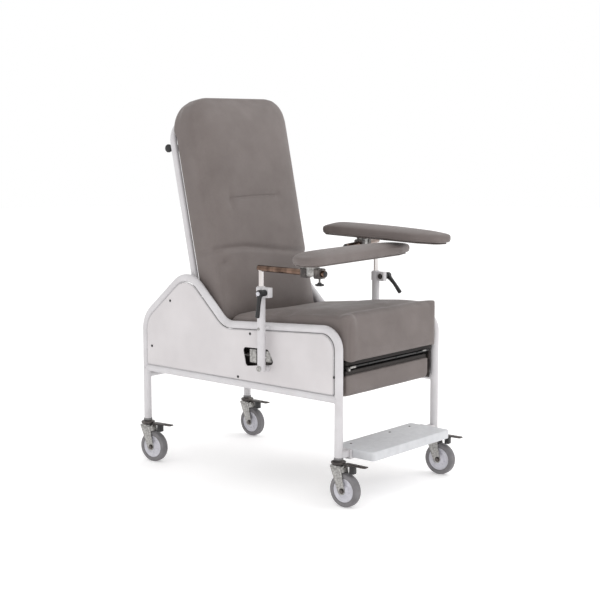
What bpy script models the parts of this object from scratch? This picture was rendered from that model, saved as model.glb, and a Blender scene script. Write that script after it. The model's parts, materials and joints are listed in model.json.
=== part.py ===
"""Patient recliner chair with swing-out arm pads, a pull-out leg rest and a foot tray.

Units are metres and +Z is up. The chair faces -Y, so the occupant's right side is at -X. Each
sub-part is one object; a moving sub-part hangs from an empty that stands on its joint's axis.
"""

import math

import bmesh
import bpy
from mathutils import Matrix, Vector

NAME = "patient_recliner_chair"
GAP = 0.0003  # clearance between touching solids

# Where the middle of the four casters stands, so that the origin is the middle of the whole box.
CASTER_MIDDLE = (0.0138, 0.0570)

# Side frames: one bent tube a side, leg to leg, in the plane x = SIDE_X.
TUBE_R = 0.0127
SIDE_X = 0.244
LEG_Y = 0.411
LEG_FOOT = 0.139
SHOULDER = (0.211, 0.657)  # where the two slopes behind the seat would meet, (y, z)
VALLEY = (0.044, 0.4975)
REAR_KNEE_Z = 0.487
FRONT_KNEE_Z = 0.5247
REAR_BEND = 0.09
SHOULDER_BEND = 0.076
VALLEY_BEND = 0.07
FRONT_BEND = 0.057
RAIL_Z = 0.318
REAR_TUBE_Z = 0.296

# Sheet side panels and the web plates behind them.
PANEL_T = 0.002
PANEL_X = 0.2535
PANEL_GAP = 0.002
PANEL_CORNER = 0.006
WINDOW = ((-0.036, 0.436), (-0.142, 0.439), (-0.167, 0.394), (-0.049, 0.377))  # (y, z)
WEB_T = 0.004
WEB_Y = (-0.028, 0.145)
WEB_TOP = 0.4835

# Casters.
WHEEL_R = 0.0508
TYRE_W = 0.0256
TRAIL = 0.026
RIM_R = 0.036
AXLE_R = 0.005
FORK_X = 0.0165
FORK_T = 0.003
CROWN_TOP = 0.1245
CROWN_T = 0.008
RING_R = 0.0225
FORK_HALF_DEPTH = 0.021
AXLE_EYE_R = 0.012
AXLE_PROUD = 0.004
HUB_HALF = 0.0135
PEDAL_HALF = 0.0115
PEDAL_LENGTH = 0.077
CASTERS = {  # corner: (side, end, swivel in degrees)
    "front_right": (-1, -1, 1.0),
    "rear_right": (-1, 1, 6.0),
    "rear_left": (1, 1, -1.0),
    "front_left": (1, -1, 4.0),
}
PEDAL_PIVOT = (-0.027, 0.122)  # (y, z) in the caster's own frame

# Seat.
SEAT_PAN_Z = (0.410, 0.414)
SEAT_BOARD_T = 0.012
SEAT_BOTTOM = 0.427
SEAT_TOP = 0.568
SEAT_TOP_REAR = 0.550
SEAT_FRONT = -0.432
SEAT_REAR = 0.046
SEAT_HALF = 0.226
SEAT_BOARD_HALF = 0.215

# Backrest, in a frame that stands on the hinge axis and leans back with the cushion.
HINGE = (0.115, 0.44)
BACK_LEAN = math.radians(12)
BACK_HALF = 0.218
BACK_FRONT = -0.072
BACK_REAR = 0.040
BACK_BOTTOM = 0.030
BACK_TOP = 0.765
BACK_TUBE_R = 0.011
BACK_TUBE_X = 0.2165
BACK_TUBE_FOOT = 0.020
BACK_TUBE_TOP = 0.715
BACK_TUBE_BEND = 0.075
PUSH_BAR_UP = 0.632
PUSH_BAR_HALF = 0.222
HINGE_ROD_R = 0.008

# Leg rest: a panel hinged on a carriage that slides in two rails.
LEG_HINGE = (-0.105, 0.360)
LEG_HALF = 0.2095
LEG_FRONT = -0.410
LEG_REAR = -0.125
LEG_BOTTOM = 0.3145
LEG_BOARD_Z = 0.384
LEG_TOP = 0.395
SLIDE_BAR_X = (0.2125, 0.2220)
SLIDE_BAR_H = 0.022
SLIDE_RAIL_X = (0.2235, 0.2295)
SLIDE_RAIL_Z = (0.316, 0.404)
SLIDE_RAIL_Y = (-0.402, 0.130)
SLIDE_BAR_LENGTH = 0.305
CROSS_PLATE_Y = (0.180, 0.300)
KNUCKLE_X = 0.150
PIN_R = 0.005
MOUNT_X = 0.2415

# Foot tray between the front legs.
TRAY_HALF = 0.1965
TRAY_Y = (-0.505, -0.353)
TRAY_TOP = 0.165
TRAY_LIP = 0.027
TRAY_T = 0.002
GUIDE_Y = (-0.426, -0.386)

# Arms: a chrome riser and bar in an outer post, with a pad on a saddle that slides on the bar.
POST_X = 0.284
POST_Y = -0.141
POST_Z = (0.377, 0.636)
NECK_Z = 0.507
SPACERS = {  # name: (its end on the frame in x, height, radius)
    "foot": (0.2548, POST_Z[0], 0.0095),
    "neck": (0.2572, NECK_Z, 0.0065),
}
SPACER_INNER = 0.0113  # where a spacer ends inside the post's wall, from the post's axis
CLAMP_HALF = 0.0095
CLAMP_EAR = 0.026
RISER_R = 0.0075
RISER_DROP = 0.200
BUSHING_LENGTH = 0.026
BAR_R = 0.0095
BAR_LENGTH = 0.251
BLOCK_Z = (0.604, 0.634)
CLAMP_HUB = (-0.166, 0.619)
LEVER_OUT = 0.031
LEVER_HUB_R = 0.009
LEVER_LENGTH = 0.072
SADDLE_HALF = 0.0365
SADDLE_BLOCK = 0.022
JAW_HALF = 0.0145
BOSS_R = 0.020
KNOB_R = 0.013
KNOB_Z = (-0.036, -0.030)
SHANK_R = 0.003
PAD_RISE = 0.022
PAD_T = 0.038
PAD_LENGTH = 0.563
PAD_HALF = 0.056
PAD_TIP_HALF = 0.034
PAD_TAPER = 0.09
# Side: x sign, bar height, bar direction, saddle reach, pad direction, pad behind swivel, lever swing.
ARMS = {
    "right": (-1, 0.691, 270.0, 0.2035, 4.0, 0.069, 5.0),
    "left": (1, 0.7365, 195.0, 0.1134, 259.3, 0.179, -43.0),
}


def clear_scene():
    for obj in list(bpy.data.objects):
        bpy.data.objects.remove(obj, do_unlink=True)


def new_collection(name):
    made = bpy.data.collections.new(name)
    bpy.context.scene.collection.children.link(made)
    return made


def paint(name, colour, roughness, metallic=0.0):
    """A Principled material from an sRGB colour of 0 to 255."""
    made = bpy.data.materials.new(name)
    made.use_nodes = True
    shader = made.node_tree.nodes["Principled BSDF"]
    linear = [(c / 255) ** 2.2 for c in colour]
    shader.inputs["Base Color"].default_value = (*linear, 1.0)
    shader.inputs["Roughness"].default_value = roughness
    shader.inputs["Metallic"].default_value = metallic
    return made


def stand(name, parent, location, rotation=(0, 0, 0)):
    """An empty, such as one on a joint's axis."""
    made = bpy.data.objects.new(name, None)
    made.empty_display_size = 0.03
    PARTS.objects.link(made)
    made.parent = parent
    made.location = location
    made.rotation_euler = rotation
    return made


def part(name, data, finish, parent, location=(0, 0, 0), rotation=(0, 0, 0)):
    made = bpy.data.objects.new(name, data)
    PARTS.objects.link(made)
    made.parent = parent
    made.location = location
    made.rotation_euler = rotation
    if finish.name not in data.materials:
        data.materials.append(finish)
    return made


def helper(name, data, parent, location=(0, 0, 0), rotation=(0, 0, 0)):
    """A solid that only cuts or extends its parent, so it is never rendered."""
    made = bpy.data.objects.new(name, data)
    CUTTERS.objects.link(made)
    made.parent = parent
    made.location = location
    made.rotation_euler = rotation
    made.hide_render = True
    made.display_type = "WIRE"
    return made


def boolean(obj, other, operation):
    modifier = obj.modifiers.new(other.name, "BOOLEAN")
    modifier.operation = operation
    modifier.object = other


def to_mesh(name, build):
    bm = bmesh.new()
    build(bm)
    data = bpy.data.meshes.new(name)
    bm.to_mesh(data)
    bm.free()
    return data


def block(name, low, high):
    """A box mesh between two corners."""
    low = Vector(low)
    high = Vector(high)
    size = high - low

    def build(bm):
        bmesh.ops.create_cube(bm, size=1)
        bmesh.ops.scale(bm, vec=size, verts=bm.verts)
        bmesh.ops.translate(bm, vec=(low + high) / 2, verts=bm.verts)

    return to_mesh(name, build)


def rod(name, start, end, radius, sides=16, radius_end=None):
    """A round bar mesh from start to end, tapered if radius_end is given."""
    start = Vector(start)
    end = Vector(end)
    run = end - start
    turn = Vector((0, 0, 1)).rotation_difference(run).to_matrix().to_4x4()
    place = Matrix.Translation((start + end) / 2) @ turn

    def build(bm):
        bmesh.ops.create_cone(
            bm, cap_ends=True, segments=sides, radius1=radius,
            radius2=radius if radius_end is None else radius_end, depth=run.length, matrix=place,
        )

    data = to_mesh(name, build)
    smooth(data)
    return data


def smooth(data):
    data.shade_smooth()
    data.set_sharp_from_angle(angle=math.radians(40))


def turned(name, profile, finish, parent, location, sides, closed, rotation=(0, math.pi / 2, 0)):
    """A turned part: the (radius, height) profile runs down its outer side, then a Screw."""
    def build(bm):
        points = [bm.verts.new((radius, 0, height)) for radius, height in profile]
        for a, b in zip(points, points[1:]):
            bm.edges.new((a, b))
        if closed:
            bm.edges.new((points[-1], points[0]))

    made = part(name, to_mesh(name, build), finish, parent, location, rotation)
    screw = made.modifiers.new("Turn", "SCREW")
    screw.steps = sides
    screw.render_steps = sides
    screw.use_merge_vertices = True
    screw.merge_threshold = 0.00001
    screw.use_smooth_shade = False
    return made


def rounded(corners, radii, steps=5):
    """The open path through 2-D corners, with an arc of the given radius at each inner corner."""
    path = [Vector(corners[0])]
    for before, corner, after, radius in zip(corners, corners[1:], corners[2:], radii):
        path += fillet(Vector(before), Vector(corner), Vector(after), radius, steps)
    path.append(Vector(corners[-1]))
    return path


def rounded_loop(corners, radii, steps=5):
    """The closed outline through 2-D corners, with an arc at each."""
    count = len(corners)
    path = []
    for i, radius in enumerate(radii):
        before, corner, after = (Vector(corners[(i + k) % count]) for k in (-1, 0, 1))
        path += fillet(before, corner, after, radius, steps)
    return path


def fillet(before, corner, after, radius, steps):
    """Points of the arc that rounds a corner."""
    back = (before - corner).normalized()
    ahead = (after - corner).normalized()
    half = back.angle(ahead) / 2
    centre = corner + (back + ahead).normalized() * (radius / math.sin(half))
    first = corner + back * (radius / math.tan(half)) - centre
    sweep = first.angle_signed(corner + ahead * (radius / math.tan(half)) - centre)
    return [
        centre + Matrix.Rotation(-sweep * i / steps, 2) @ first
        for i in range(steps + 1)
    ]


def inset(corners, distance):
    """A closed counter-clockwise outline moved inwards by distance, as sharp corners."""
    count = len(corners)
    lines = []
    for i in range(count):
        a = Vector(corners[i])
        b = Vector(corners[(i + 1) % count])
        along = (b - a).normalized()
        lines.append((a + Vector((-along.y, along.x)) * distance, along))
    made = []
    for (p, u), (q, v) in zip([lines[-1], *lines], lines):
        reach = ((q - p).x * v.y - (q - p).y * v.x) / (u.x * v.y - u.y * v.x)
        made.append(p + u * reach)
    return made


def tube(name, points, radius, resolution=4):
    """Curve data for a round tube along 3-D points."""
    data = bpy.data.curves.new(name, "CURVE")
    data.dimensions = "3D"
    data.bevel_depth = radius
    data.bevel_resolution = resolution
    data.use_fill_caps = True
    spline = data.splines.new("POLY")
    spline.points.add(len(points) - 1)
    for point, place in zip(spline.points, points):
        point.co = (*place, 1)
    return data


def outline(name, loops, half_depth, edge=0.0, edge_steps=1):
    """Flat curve data: filled 2-D loops, the later ones holes, with its faces at +-half_depth."""
    data = bpy.data.curves.new(name, "CURVE")
    data.dimensions = "2D"
    data.fill_mode = "BOTH"
    data.extrude = half_depth - edge
    data.bevel_depth = edge
    data.bevel_resolution = edge_steps
    data.offset = -edge
    for loop in loops:
        spline = data.splines.new("POLY")
        spline.points.add(len(loop) - 1)
        for point, place in zip(spline.points, loop):
            point.co = (place[0], place[1], 0, 1)
        spline.use_cyclic_u = True
    return data


def meshed(name, curve):
    """The closed mesh of curve data, so that it can be cut or joined."""
    carrier = bpy.data.objects.new(name, curve)
    CUTTERS.objects.link(carrier)
    data = bpy.data.meshes.new_from_object(carrier.evaluated_get(bpy.context.evaluated_depsgraph_get()))
    bpy.data.objects.remove(carrier, do_unlink=True)
    bm = bmesh.new()
    bm.from_mesh(data)
    bmesh.ops.remove_doubles(bm, verts=bm.verts, dist=0.00001)
    bm.to_mesh(data)
    bm.free()
    return data


# Turning a flat outline drawn in (y, z) so that its depth runs along X.
UPRIGHT = (math.pi / 2, 0, math.pi / 2)


def side_outline():
    """Corners (y, z) of the side loop's centre line, closed along the lower rail, counter-clockwise."""
    return [
        (LEG_Y, RAIL_Z), (LEG_Y, REAR_KNEE_Z), SHOULDER, VALLEY,
        (-LEG_Y, FRONT_KNEE_Z), (-LEG_Y, RAIL_Z),
    ]


def build_side(side, sign):
    """Bent side tube, lower rail, sheet panel and web plate of one side."""
    x = sign * SIDE_X
    corners = side_outline()
    corners[0] = (LEG_Y, LEG_FOOT)
    corners[-1] = (-LEG_Y, LEG_FOOT)
    path = rounded(corners, (REAR_BEND, SHOULDER_BEND, VALLEY_BEND, FRONT_BEND))
    loop = tube(f"{side}_side_frame", [(0, y, z) for y, z in path], TUBE_R, 6)
    part(f"{side}_side_frame", loop, WHITE, CHAIR, (x, 0, 0))

    rail = part(
        f"{side}_lower_rail",
        rod("lower_rail", (0, -LEG_Y, RAIL_Z), (0, LEG_Y, RAIL_Z), TUBE_R), WHITE, CHAIR, (x, 0, 0),
    )
    for end in (-1, 1):
        boolean(rail, leg_cutter(rail, f"{side}_rail_cope_{end}", (0, end * LEG_Y)), "DIFFERENCE")

    edge = inset(side_outline(), TUBE_R + PANEL_GAP)
    bend = (
        PANEL_CORNER, REAR_BEND - TUBE_R, SHOULDER_BEND - TUBE_R,
        VALLEY_BEND + TUBE_R, FRONT_BEND - TUBE_R, PANEL_CORNER,
    )
    window = rounded_loop(WINDOW, (0.010, 0.014, 0.010, 0.010), 3)
    sheet = outline(f"{side}_side_panel", [rounded_loop(edge, bend), window], PANEL_T / 2)
    part(f"{side}_side_panel", sheet, WHITE, CHAIR, (sign * PANEL_X, 0, 0), UPRIGHT)

    low = (-WEB_T / 2, WEB_Y[0], RAIL_Z + TUBE_R + GAP)
    web = block(f"{side}_web_plate", low, (WEB_T / 2, WEB_Y[1], WEB_TOP))
    part(f"{side}_web_plate", web, WHITE, CHAIR, (x, 0, 0))


def leg_cutter(parent, name, place):
    """An upright cylinder a gap wider than a leg, at (x, y) in the parent's frame."""
    x, y = place
    return helper(name, rod("leg_cutter", (x, y, 0.2), (x, y, 0.45), TUBE_R + GAP), parent)


def build_frame():
    for side, sign in SIDES:
        build_side(side, sign)
    cross = rod("rear_cross_tube", (-SIDE_X, LEG_Y, REAR_TUBE_Z), (SIDE_X, LEG_Y, REAR_TUBE_Z), TUBE_R)
    cross = part("rear_cross_tube", cross, WHITE, CHAIR)
    for side, sign in SIDES:
        boolean(cross, leg_cutter(cross, f"cross_cope_{side}", (sign * SIDE_X, LEG_Y)), "DIFFERENCE")
        drop = rod("rail_cutter", (0, 0.3, RAIL_Z), (0, 0.5, RAIL_Z), TUBE_R + GAP)
        boolean(cross, helper(f"cross_rail_{side}", drop, cross, (sign * SIDE_X, 0, 0)), "DIFFERENCE")


def build_caster(corner, side, end, swivel):
    """One swivel caster; its fork's frame stands on the stem axis at floor level."""
    place = (side * SIDE_X, end * LEG_Y, 0)
    ring = [
        (0, LEG_FOOT - GAP), (0.014, LEG_FOOT - GAP), (0.016, 0.1355), (RING_R, 0.1335),
        (RING_R, 0.1275), (0.019, CROWN_TOP + GAP), (0, CROWN_TOP + GAP),
    ]
    turned(f"{corner}_caster_stem", ring, DARK_STEEL, CHAIR, place, 20, False, (0, 0, 0))

    turn = stand(f"{corner}_swivel", CHAIR, place, (0, 0, math.radians(swivel)))
    build_fork(corner, turn)
    build_wheel(corner, stand(f"{corner}_spin", turn, (0, -TRAIL, WHEEL_R)))
    build_pedal(corner, turn)


def build_fork(corner, turn):
    """Crown plate, two cheeks that lean back to the axle, and the axle."""
    side = FORK_X + FORK_T / 2
    low = (-side, -FORK_HALF_DEPTH, CROWN_TOP - CROWN_T)
    crown = block("crown", low, (side, FORK_HALF_DEPTH, CROWN_TOP))
    fork = part(f"{corner}_caster_fork", crown, STEEL, turn)
    root = FORK_HALF_DEPTH - 0.002
    leg = [
        (root, CROWN_TOP - 0.002), (-root, CROWN_TOP - 0.002),
        (-TRAIL - AXLE_EYE_R, WHEEL_R - AXLE_EYE_R), (-TRAIL + AXLE_EYE_R, WHEEL_R - AXLE_EYE_R),
    ]
    cheek = outline("cheek", [rounded_loop(leg, (0.002, 0.002, 0.011, 0.011), 4)], FORK_T / 2)
    cheek = meshed("cheek", cheek)
    for sign in (-1, 1):
        place = (sign * (FORK_X - 0.0001), 0, 0)
        boolean(fork, helper(f"{corner}_cheek_{sign}", cheek, fork, place, UPRIGHT), "UNION")
    half = side + AXLE_PROUD
    axle = rod("axle", (-half, -TRAIL, WHEEL_R), (half, -TRAIL, WHEEL_R), AXLE_R, 12)
    boolean(fork, helper(f"{corner}_axle", axle, fork), "UNION")


def build_wheel(corner, spin):
    """Tyre and hub, each turned about the axle."""
    half = TYRE_W / 2
    face = [
        (WHEEL_R, -0.004), (WHEEL_R - 0.0011, -0.009), (WHEEL_R - 0.0048, -half),
        (RIM_R + 0.002, -half), (RIM_R, -0.011),
    ]
    tread = face + [(radius, -height) for radius, height in reversed(face)]
    turned(f"{corner}_caster_tyre", tread, GREY_RUBBER, spin, (0, 0, 0), 28, True)
    face = [
        (RIM_R - GAP, -0.0108), (0.0315, -0.0108), (0.0295, -0.0065),
        (0.0135, -0.0065), (0.0115, -HUB_HALF), (AXLE_R + GAP, -HUB_HALF),
    ]
    hub = face + [(radius, -height) for radius, height in reversed(face)]
    turned(f"{corner}_caster_hub", hub, PALE_PLASTIC, spin, (0, 0, 0), 20, True)


def build_pedal(corner, turn):
    """Brake pedal on a pivot behind the stem, with the shoe that it presses on the tyre."""
    y, z = PEDAL_PIVOT
    foot = stand(f"{corner}_pedal_hinge", turn, (0, y, z))
    plate = block("pedal", (-PEDAL_HALF, -PEDAL_LENGTH, 0.0065), (PEDAL_HALF, 0.0025, 0.0095))
    lever = part(f"{corner}_caster_pedal", plate, DARK_STEEL, foot)
    shoe = block("shoe", (-0.009, -0.034, -0.019), (0.009, -0.018, 0.008))
    boolean(lever, helper(f"{corner}_shoe", shoe, lever), "UNION")
    root = block("root", (-0.007, -0.004, -0.004), (0.007, 0.0024, 0.008))
    boolean(lever, helper(f"{corner}_root", root, lever), "UNION")


def build_seat():
    under, over = SEAT_PAN_Z
    pan = block("seat_pan", (-MOUNT_X, -0.195, under), (MOUNT_X, 0.045, over))
    part("seat_pan", pan, DARK_STEEL, CHAIR)
    low = (-SEAT_BOARD_HALF, SEAT_FRONT + 0.017, over + GAP)
    high = (SEAT_BOARD_HALF, SEAT_REAR - 0.014, over + GAP + SEAT_BOARD_T)
    part("seat_board", block("seat_board", low, high), BOARD, CHAIR)
    corners = [
        (SEAT_REAR, SEAT_BOTTOM), (SEAT_REAR + 0.014, SEAT_TOP_REAR), (-0.240, SEAT_TOP),
        (SEAT_FRONT, SEAT_TOP), (SEAT_FRONT, SEAT_BOTTOM),
    ]
    section = rounded_loop(corners, (0.024, 0.040, 0.300, 0.045, 0.024), 4)
    cushion = outline("seat_cushion", [section], SEAT_HALF, 0.020, 2)
    part("seat_cushion", cushion, VINYL, CHAIR, rotation=UPRIGHT)


def build_back():
    """Backrest in its leaning frame: z runs up the back and -y is its front."""
    y, z = HINGE
    hinge = rod("back_hinge_rod", (-MOUNT_X, y, z), (MOUNT_X, y, z), HINGE_ROD_R)
    part("back_hinge_rod", hinge, STEEL, CHAIR)
    lean = stand("back_hinge", CHAIR, (0, y, z), (-BACK_LEAN, 0, 0))

    tube_y = BACK_REAR + GAP + BACK_TUBE_R
    corners = [
        (-BACK_TUBE_X, BACK_TUBE_FOOT), (-BACK_TUBE_X, BACK_TUBE_TOP),
        (BACK_TUBE_X, BACK_TUBE_TOP), (BACK_TUBE_X, BACK_TUBE_FOOT),
    ]
    path = rounded(corners, (BACK_TUBE_BEND, BACK_TUBE_BEND), 6)
    hoop = tube("back_frame", [(x, tube_y, up) for x, up in path], BACK_TUBE_R, 5)
    hoop = part("back_frame", meshed("back_frame", hoop), WHITE, lean)
    for side, sign in SIDES:
        x = sign * BACK_TUBE_X
        lug = block("hinge_lug", (x - 0.004, -0.0165, -0.0165), (x + 0.004, tube_y, BACK_BOTTOM - 0.003))
        boolean(hoop, helper(f"hinge_lug_{side}", lug, hoop), "UNION")
    bore = rod("hinge_bore", (-0.3, 0, 0), (0.3, 0, 0), HINGE_ROD_R + 0.0005, 16)
    boolean(hoop, helper("hinge_bore", bore, hoop), "DIFFERENCE")

    corners = [
        (BACK_HALF, BACK_BOTTOM), (BACK_HALF, BACK_TOP),
        (-BACK_HALF, BACK_TOP), (-BACK_HALF, BACK_BOTTOM),
    ]
    face = rounded_loop(corners, (0.035, 0.080, 0.080, 0.035), 4)
    cushion = outline("back_cushion", [face], (BACK_REAR - BACK_FRONT) / 2, 0.026, 2)
    middle = (0, (BACK_REAR + BACK_FRONT) / 2, 0)
    part("back_cushion", cushion, VINYL, lean, middle, (math.pi / 2, 0, 0))

    bar_y = tube_y + 2 * BACK_TUBE_R + GAP
    start = (-PUSH_BAR_HALF, bar_y, PUSH_BAR_UP)
    bar = rod("push_bar", start, (PUSH_BAR_HALF, bar_y, PUSH_BAR_UP), BACK_TUBE_R)
    part("push_bar", bar, WHITE, lean)


def build_leg_rest():
    """Rails on the frame, the carriage that slides between them, and the panel hinged on it."""
    y, z = LEG_HINGE
    build_slide_rails(z)
    slide = stand("leg_rest_slide", CHAIR, (0, y, z))
    build_carriage(slide)
    tilt = stand("leg_rest_hinge", slide, (0, 0, 0))
    build_leg_panel(tilt, y, z)


def build_slide_rails(z):
    low, high = SLIDE_RAIL_Z
    front, rear = SLIDE_RAIL_Y
    for side, sign in SIDES:
        a, b = sorted(sign * x for x in SLIDE_RAIL_X)
        rail = block("rail", (a, front, low), (b, rear, high))
        rail = part(f"{side}_leg_rest_rail", rail, DARK_STEEL, CHAIR)
        a, b = sorted((sign * (SLIDE_RAIL_X[0] + 0.002), sign * MOUNT_X))
        spacer = block("rail_spacer", (a, WEB_Y[0] + 0.01, z - 0.015), (b, 0.120, z + 0.015))
        boolean(rail, helper(f"{side}_rail_spacer", spacer, rail), "UNION")


def build_carriage(slide):
    inner, outer = SLIDE_BAR_X
    front, rear = CROSS_PLATE_Y
    plate = block("carriage", (-outer + 0.001, front, -0.002), (outer - 0.001, rear, 0.002))
    carriage = part("leg_rest_carriage", plate, DARK_STEEL, slide)
    for side, sign in SIDES:
        a, b = sorted((sign * inner, sign * outer))
        low = (a, -0.010, -SLIDE_BAR_H / 2)
        bar = block("slide_bar", low, (b, SLIDE_BAR_LENGTH, SLIDE_BAR_H / 2))
        boolean(carriage, helper(f"slide_bar_{side}", bar, carriage), "UNION")
    pin = rod("leg_rest_pin", (-inner - 0.004, 0, 0), (inner + 0.004, 0, 0), PIN_R, 12)
    boolean(carriage, helper("leg_rest_pin", pin, carriage), "UNION")


def build_leg_panel(tilt, y, z):
    """Board with two hinge knuckles and the pad below it; (y, z) is the hinge axis."""
    low = (-LEG_HALF + 0.006, LEG_FRONT + 0.006 - y, LEG_BOARD_Z - z)
    board = block("leg_rest_board", low, (LEG_HALF - 0.006, LEG_REAR - y, LEG_TOP - z))
    board = part("leg_rest_board", board, BOARD, tilt)
    for side, sign in SIDES:
        x = sign * KNUCKLE_X
        low = (x - 0.006, LEG_REAR - y - 0.004, -0.011)
        knuckle = block("knuckle", low, (x + 0.006, 0.011, LEG_TOP - z - 0.001))
        boolean(board, helper(f"knuckle_{side}", knuckle, board), "UNION")
    bore = rod("knuckle_bore", (-0.2, 0, 0), (0.2, 0, 0), PIN_R + 0.0005, 12)
    boolean(board, helper("knuckle_bore", bore, board), "DIFFERENCE")

    rear = LEG_REAR - 0.008 - y
    under = LEG_BOARD_Z - GAP - z
    front, bottom = LEG_FRONT - y, LEG_BOTTOM - z
    corners = [(rear, bottom), (rear, under), (front, under), (front, bottom)]
    section = rounded_loop(corners, (0.012, 0.010, 0.010, 0.016), 4)
    cushion = outline("leg_rest_cushion", [section], LEG_HALF, 0.008)
    part("leg_rest_cushion", cushion, VINYL, tilt, rotation=UPRIGHT)


def build_tray():
    low_y, high_y = TRAY_Y
    deep = high_y - low_y
    slide = stand("tray_slide", CHAIR, (0, high_y, TRAY_TOP))
    pan = block("foot_tray", (-TRAY_HALF, -deep, -TRAY_LIP), (TRAY_HALF, 0, 0))
    pan = part("foot_tray", pan, TRAY_GREY, slide)
    inside = TRAY_HALF - TRAY_T
    hollow = block("tray_hollow", (-inside, TRAY_T - deep, -0.06), (inside, -TRAY_T, -TRAY_T))
    boolean(pan, helper("tray_hollow", hollow, pan), "DIFFERENCE")
    for side, sign in SIDES:
        build_tray_guide(side, sign, TRAY_TOP - TRAY_LIP)


def build_tray_guide(side, sign, under):
    """Channel beside the tray, a shelf below it and an arm coped to the leg."""
    low, high = GUIDE_Y
    a, b = sorted((sign * (TRAY_HALF + 0.001), sign * (TRAY_HALF + 0.011)))
    channel = block("tray_guide", (a, low, under - 0.0035), (b, high, TRAY_TOP - 0.002))
    guide = part(f"{side}_tray_guide", channel, WHITE, CHAIR)
    a, b = sorted((sign * (TRAY_HALF + 0.010), sign * (SIDE_X - 0.004)))
    arm = block("guide_arm", (a, -LEG_Y - 0.010, under + 0.004), (b, -LEG_Y + 0.010, TRAY_TOP - 0.004))
    boolean(guide, helper(f"{side}_guide_arm", arm, guide), "UNION")
    a, b = sorted((sign * (TRAY_HALF - 0.020), sign * (TRAY_HALF + 0.003)))
    shelf = block("guide_shelf", (a, low, under - 0.0035), (b, high, under - 0.0005))
    boolean(guide, helper(f"{side}_guide_shelf", shelf, guide), "UNION")
    x = sign * SIDE_X
    cope = rod("guide_cope", (x, -LEG_Y, 0.1), (x, -LEG_Y, 0.2), TUBE_R + GAP)
    boolean(guide, helper(f"{side}_guide_cope", cope, guide), "DIFFERENCE")


def build_arm(side, sign, height, bar_way, reach, pad_way, pad_behind, lever_swing):
    """Post, clamp and lever on the frame, then the riser, saddle and pad, each in its own frame."""
    x = sign * POST_X
    build_post(side, sign, x)
    build_clamp(side, sign, x, lever_swing)
    lift = stand(f"{side}_arm_lift", CHAIR, (x, POST_Y, height))
    swing = stand(f"{side}_arm_swing", lift, (0, 0, 0), (0, 0, math.radians(bar_way)))
    build_riser(side, lift, swing)
    carrier = stand(f"{side}_saddle_slide", swing, (reach, 0, 0))
    build_saddle(side, carrier)
    build_thumbscrew(side, carrier)
    turn = (0, 0, math.radians(pad_way - bar_way))
    turn = stand(f"{side}_pad_swivel", carrier, (0, 0, PAD_RISE), turn)
    part(f"{side}_arm_pad", pad_data(pad_behind), VINYL, turn, (0, 0, PAD_T / 2))


def build_post(side, sign, x):
    """Open tube beside the frame, stood off from it by two round spacers."""
    foot, top = POST_Z
    bore = RISER_R + GAP
    wall = [(TUBE_R, top), (TUBE_R, foot), (bore, foot), (bore, top)]
    post = turned(f"{side}_arm_post", wall, WHITE, CHAIR, (x, POST_Y, 0), 20, True, (0, 0, 0))
    for name, (near, up, radius) in SPACERS.items():
        spacer = rod(name, (sign * (near - POST_X), 0, up), (-sign * SPACER_INNER, 0, up), radius, 12)
        boolean(post, helper(f"{side}_{name}_spacer", spacer, post), "UNION")


def build_clamp(side, sign, x, lever_swing):
    """Clamp ears around the post's top, and the lever that tightens them."""
    low = (x - CLAMP_HALF, POST_Y - TUBE_R - CLAMP_EAR, BLOCK_Z[0])
    ears = block("clamp", low, (x + CLAMP_HALF, POST_Y, BLOCK_Z[1]))
    ears = part(f"{side}_arm_clamp", ears, WHITE, CHAIR)
    cope = rod("clamp_cope", (x, POST_Y, 0.5), (x, POST_Y, 0.7), TUBE_R + GAP, 20)
    boolean(ears, helper(f"{side}_clamp_cope", cope, ears), "DIFFERENCE")

    hub_y, hub_z = CLAMP_HUB
    start = sign * (POST_X + CLAMP_HALF + GAP)
    turn = (math.radians(lever_swing), 0, 0)
    pivot = stand(f"{side}_lever_pivot", CHAIR, (start, hub_y, hub_z), turn)
    hub = rod("lever", (0, 0, 0), (sign * LEVER_OUT, 0, 0), LEVER_HUB_R, 16)
    hub = part(f"{side}_arm_lever", hub, BLACK, pivot)
    tip = (sign * (LEVER_OUT - 0.004), 0, -LEVER_LENGTH)
    arm = rod("lever_arm", (sign * (LEVER_OUT - 0.006), 0, -0.002), tip, 0.0055, 12, 0.0045)
    boolean(hub, helper(f"{side}_lever_arm", arm, hub), "UNION")


def build_riser(side, lift, swing):
    """Bushing that rises with the riser, and the riser welded to its bar."""
    plug = rod("bushing", (0, 0, -RISER_DROP - BUSHING_LENGTH), (0, 0, -RISER_DROP - GAP), RISER_R, 16)
    part(f"{side}_arm_bushing", plug, BLACK, lift)
    riser = rod("riser", (0, 0, -RISER_DROP), (0, 0, 0), RISER_R, 20)
    riser = part(f"{side}_arm_tube", riser, CHROME, swing)
    bar = rod("bar", (-BAR_R, 0, 0), (BAR_LENGTH, 0, 0), BAR_R, 20)
    boolean(riser, helper(f"{side}_bar", bar, riser), "UNION")


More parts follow.
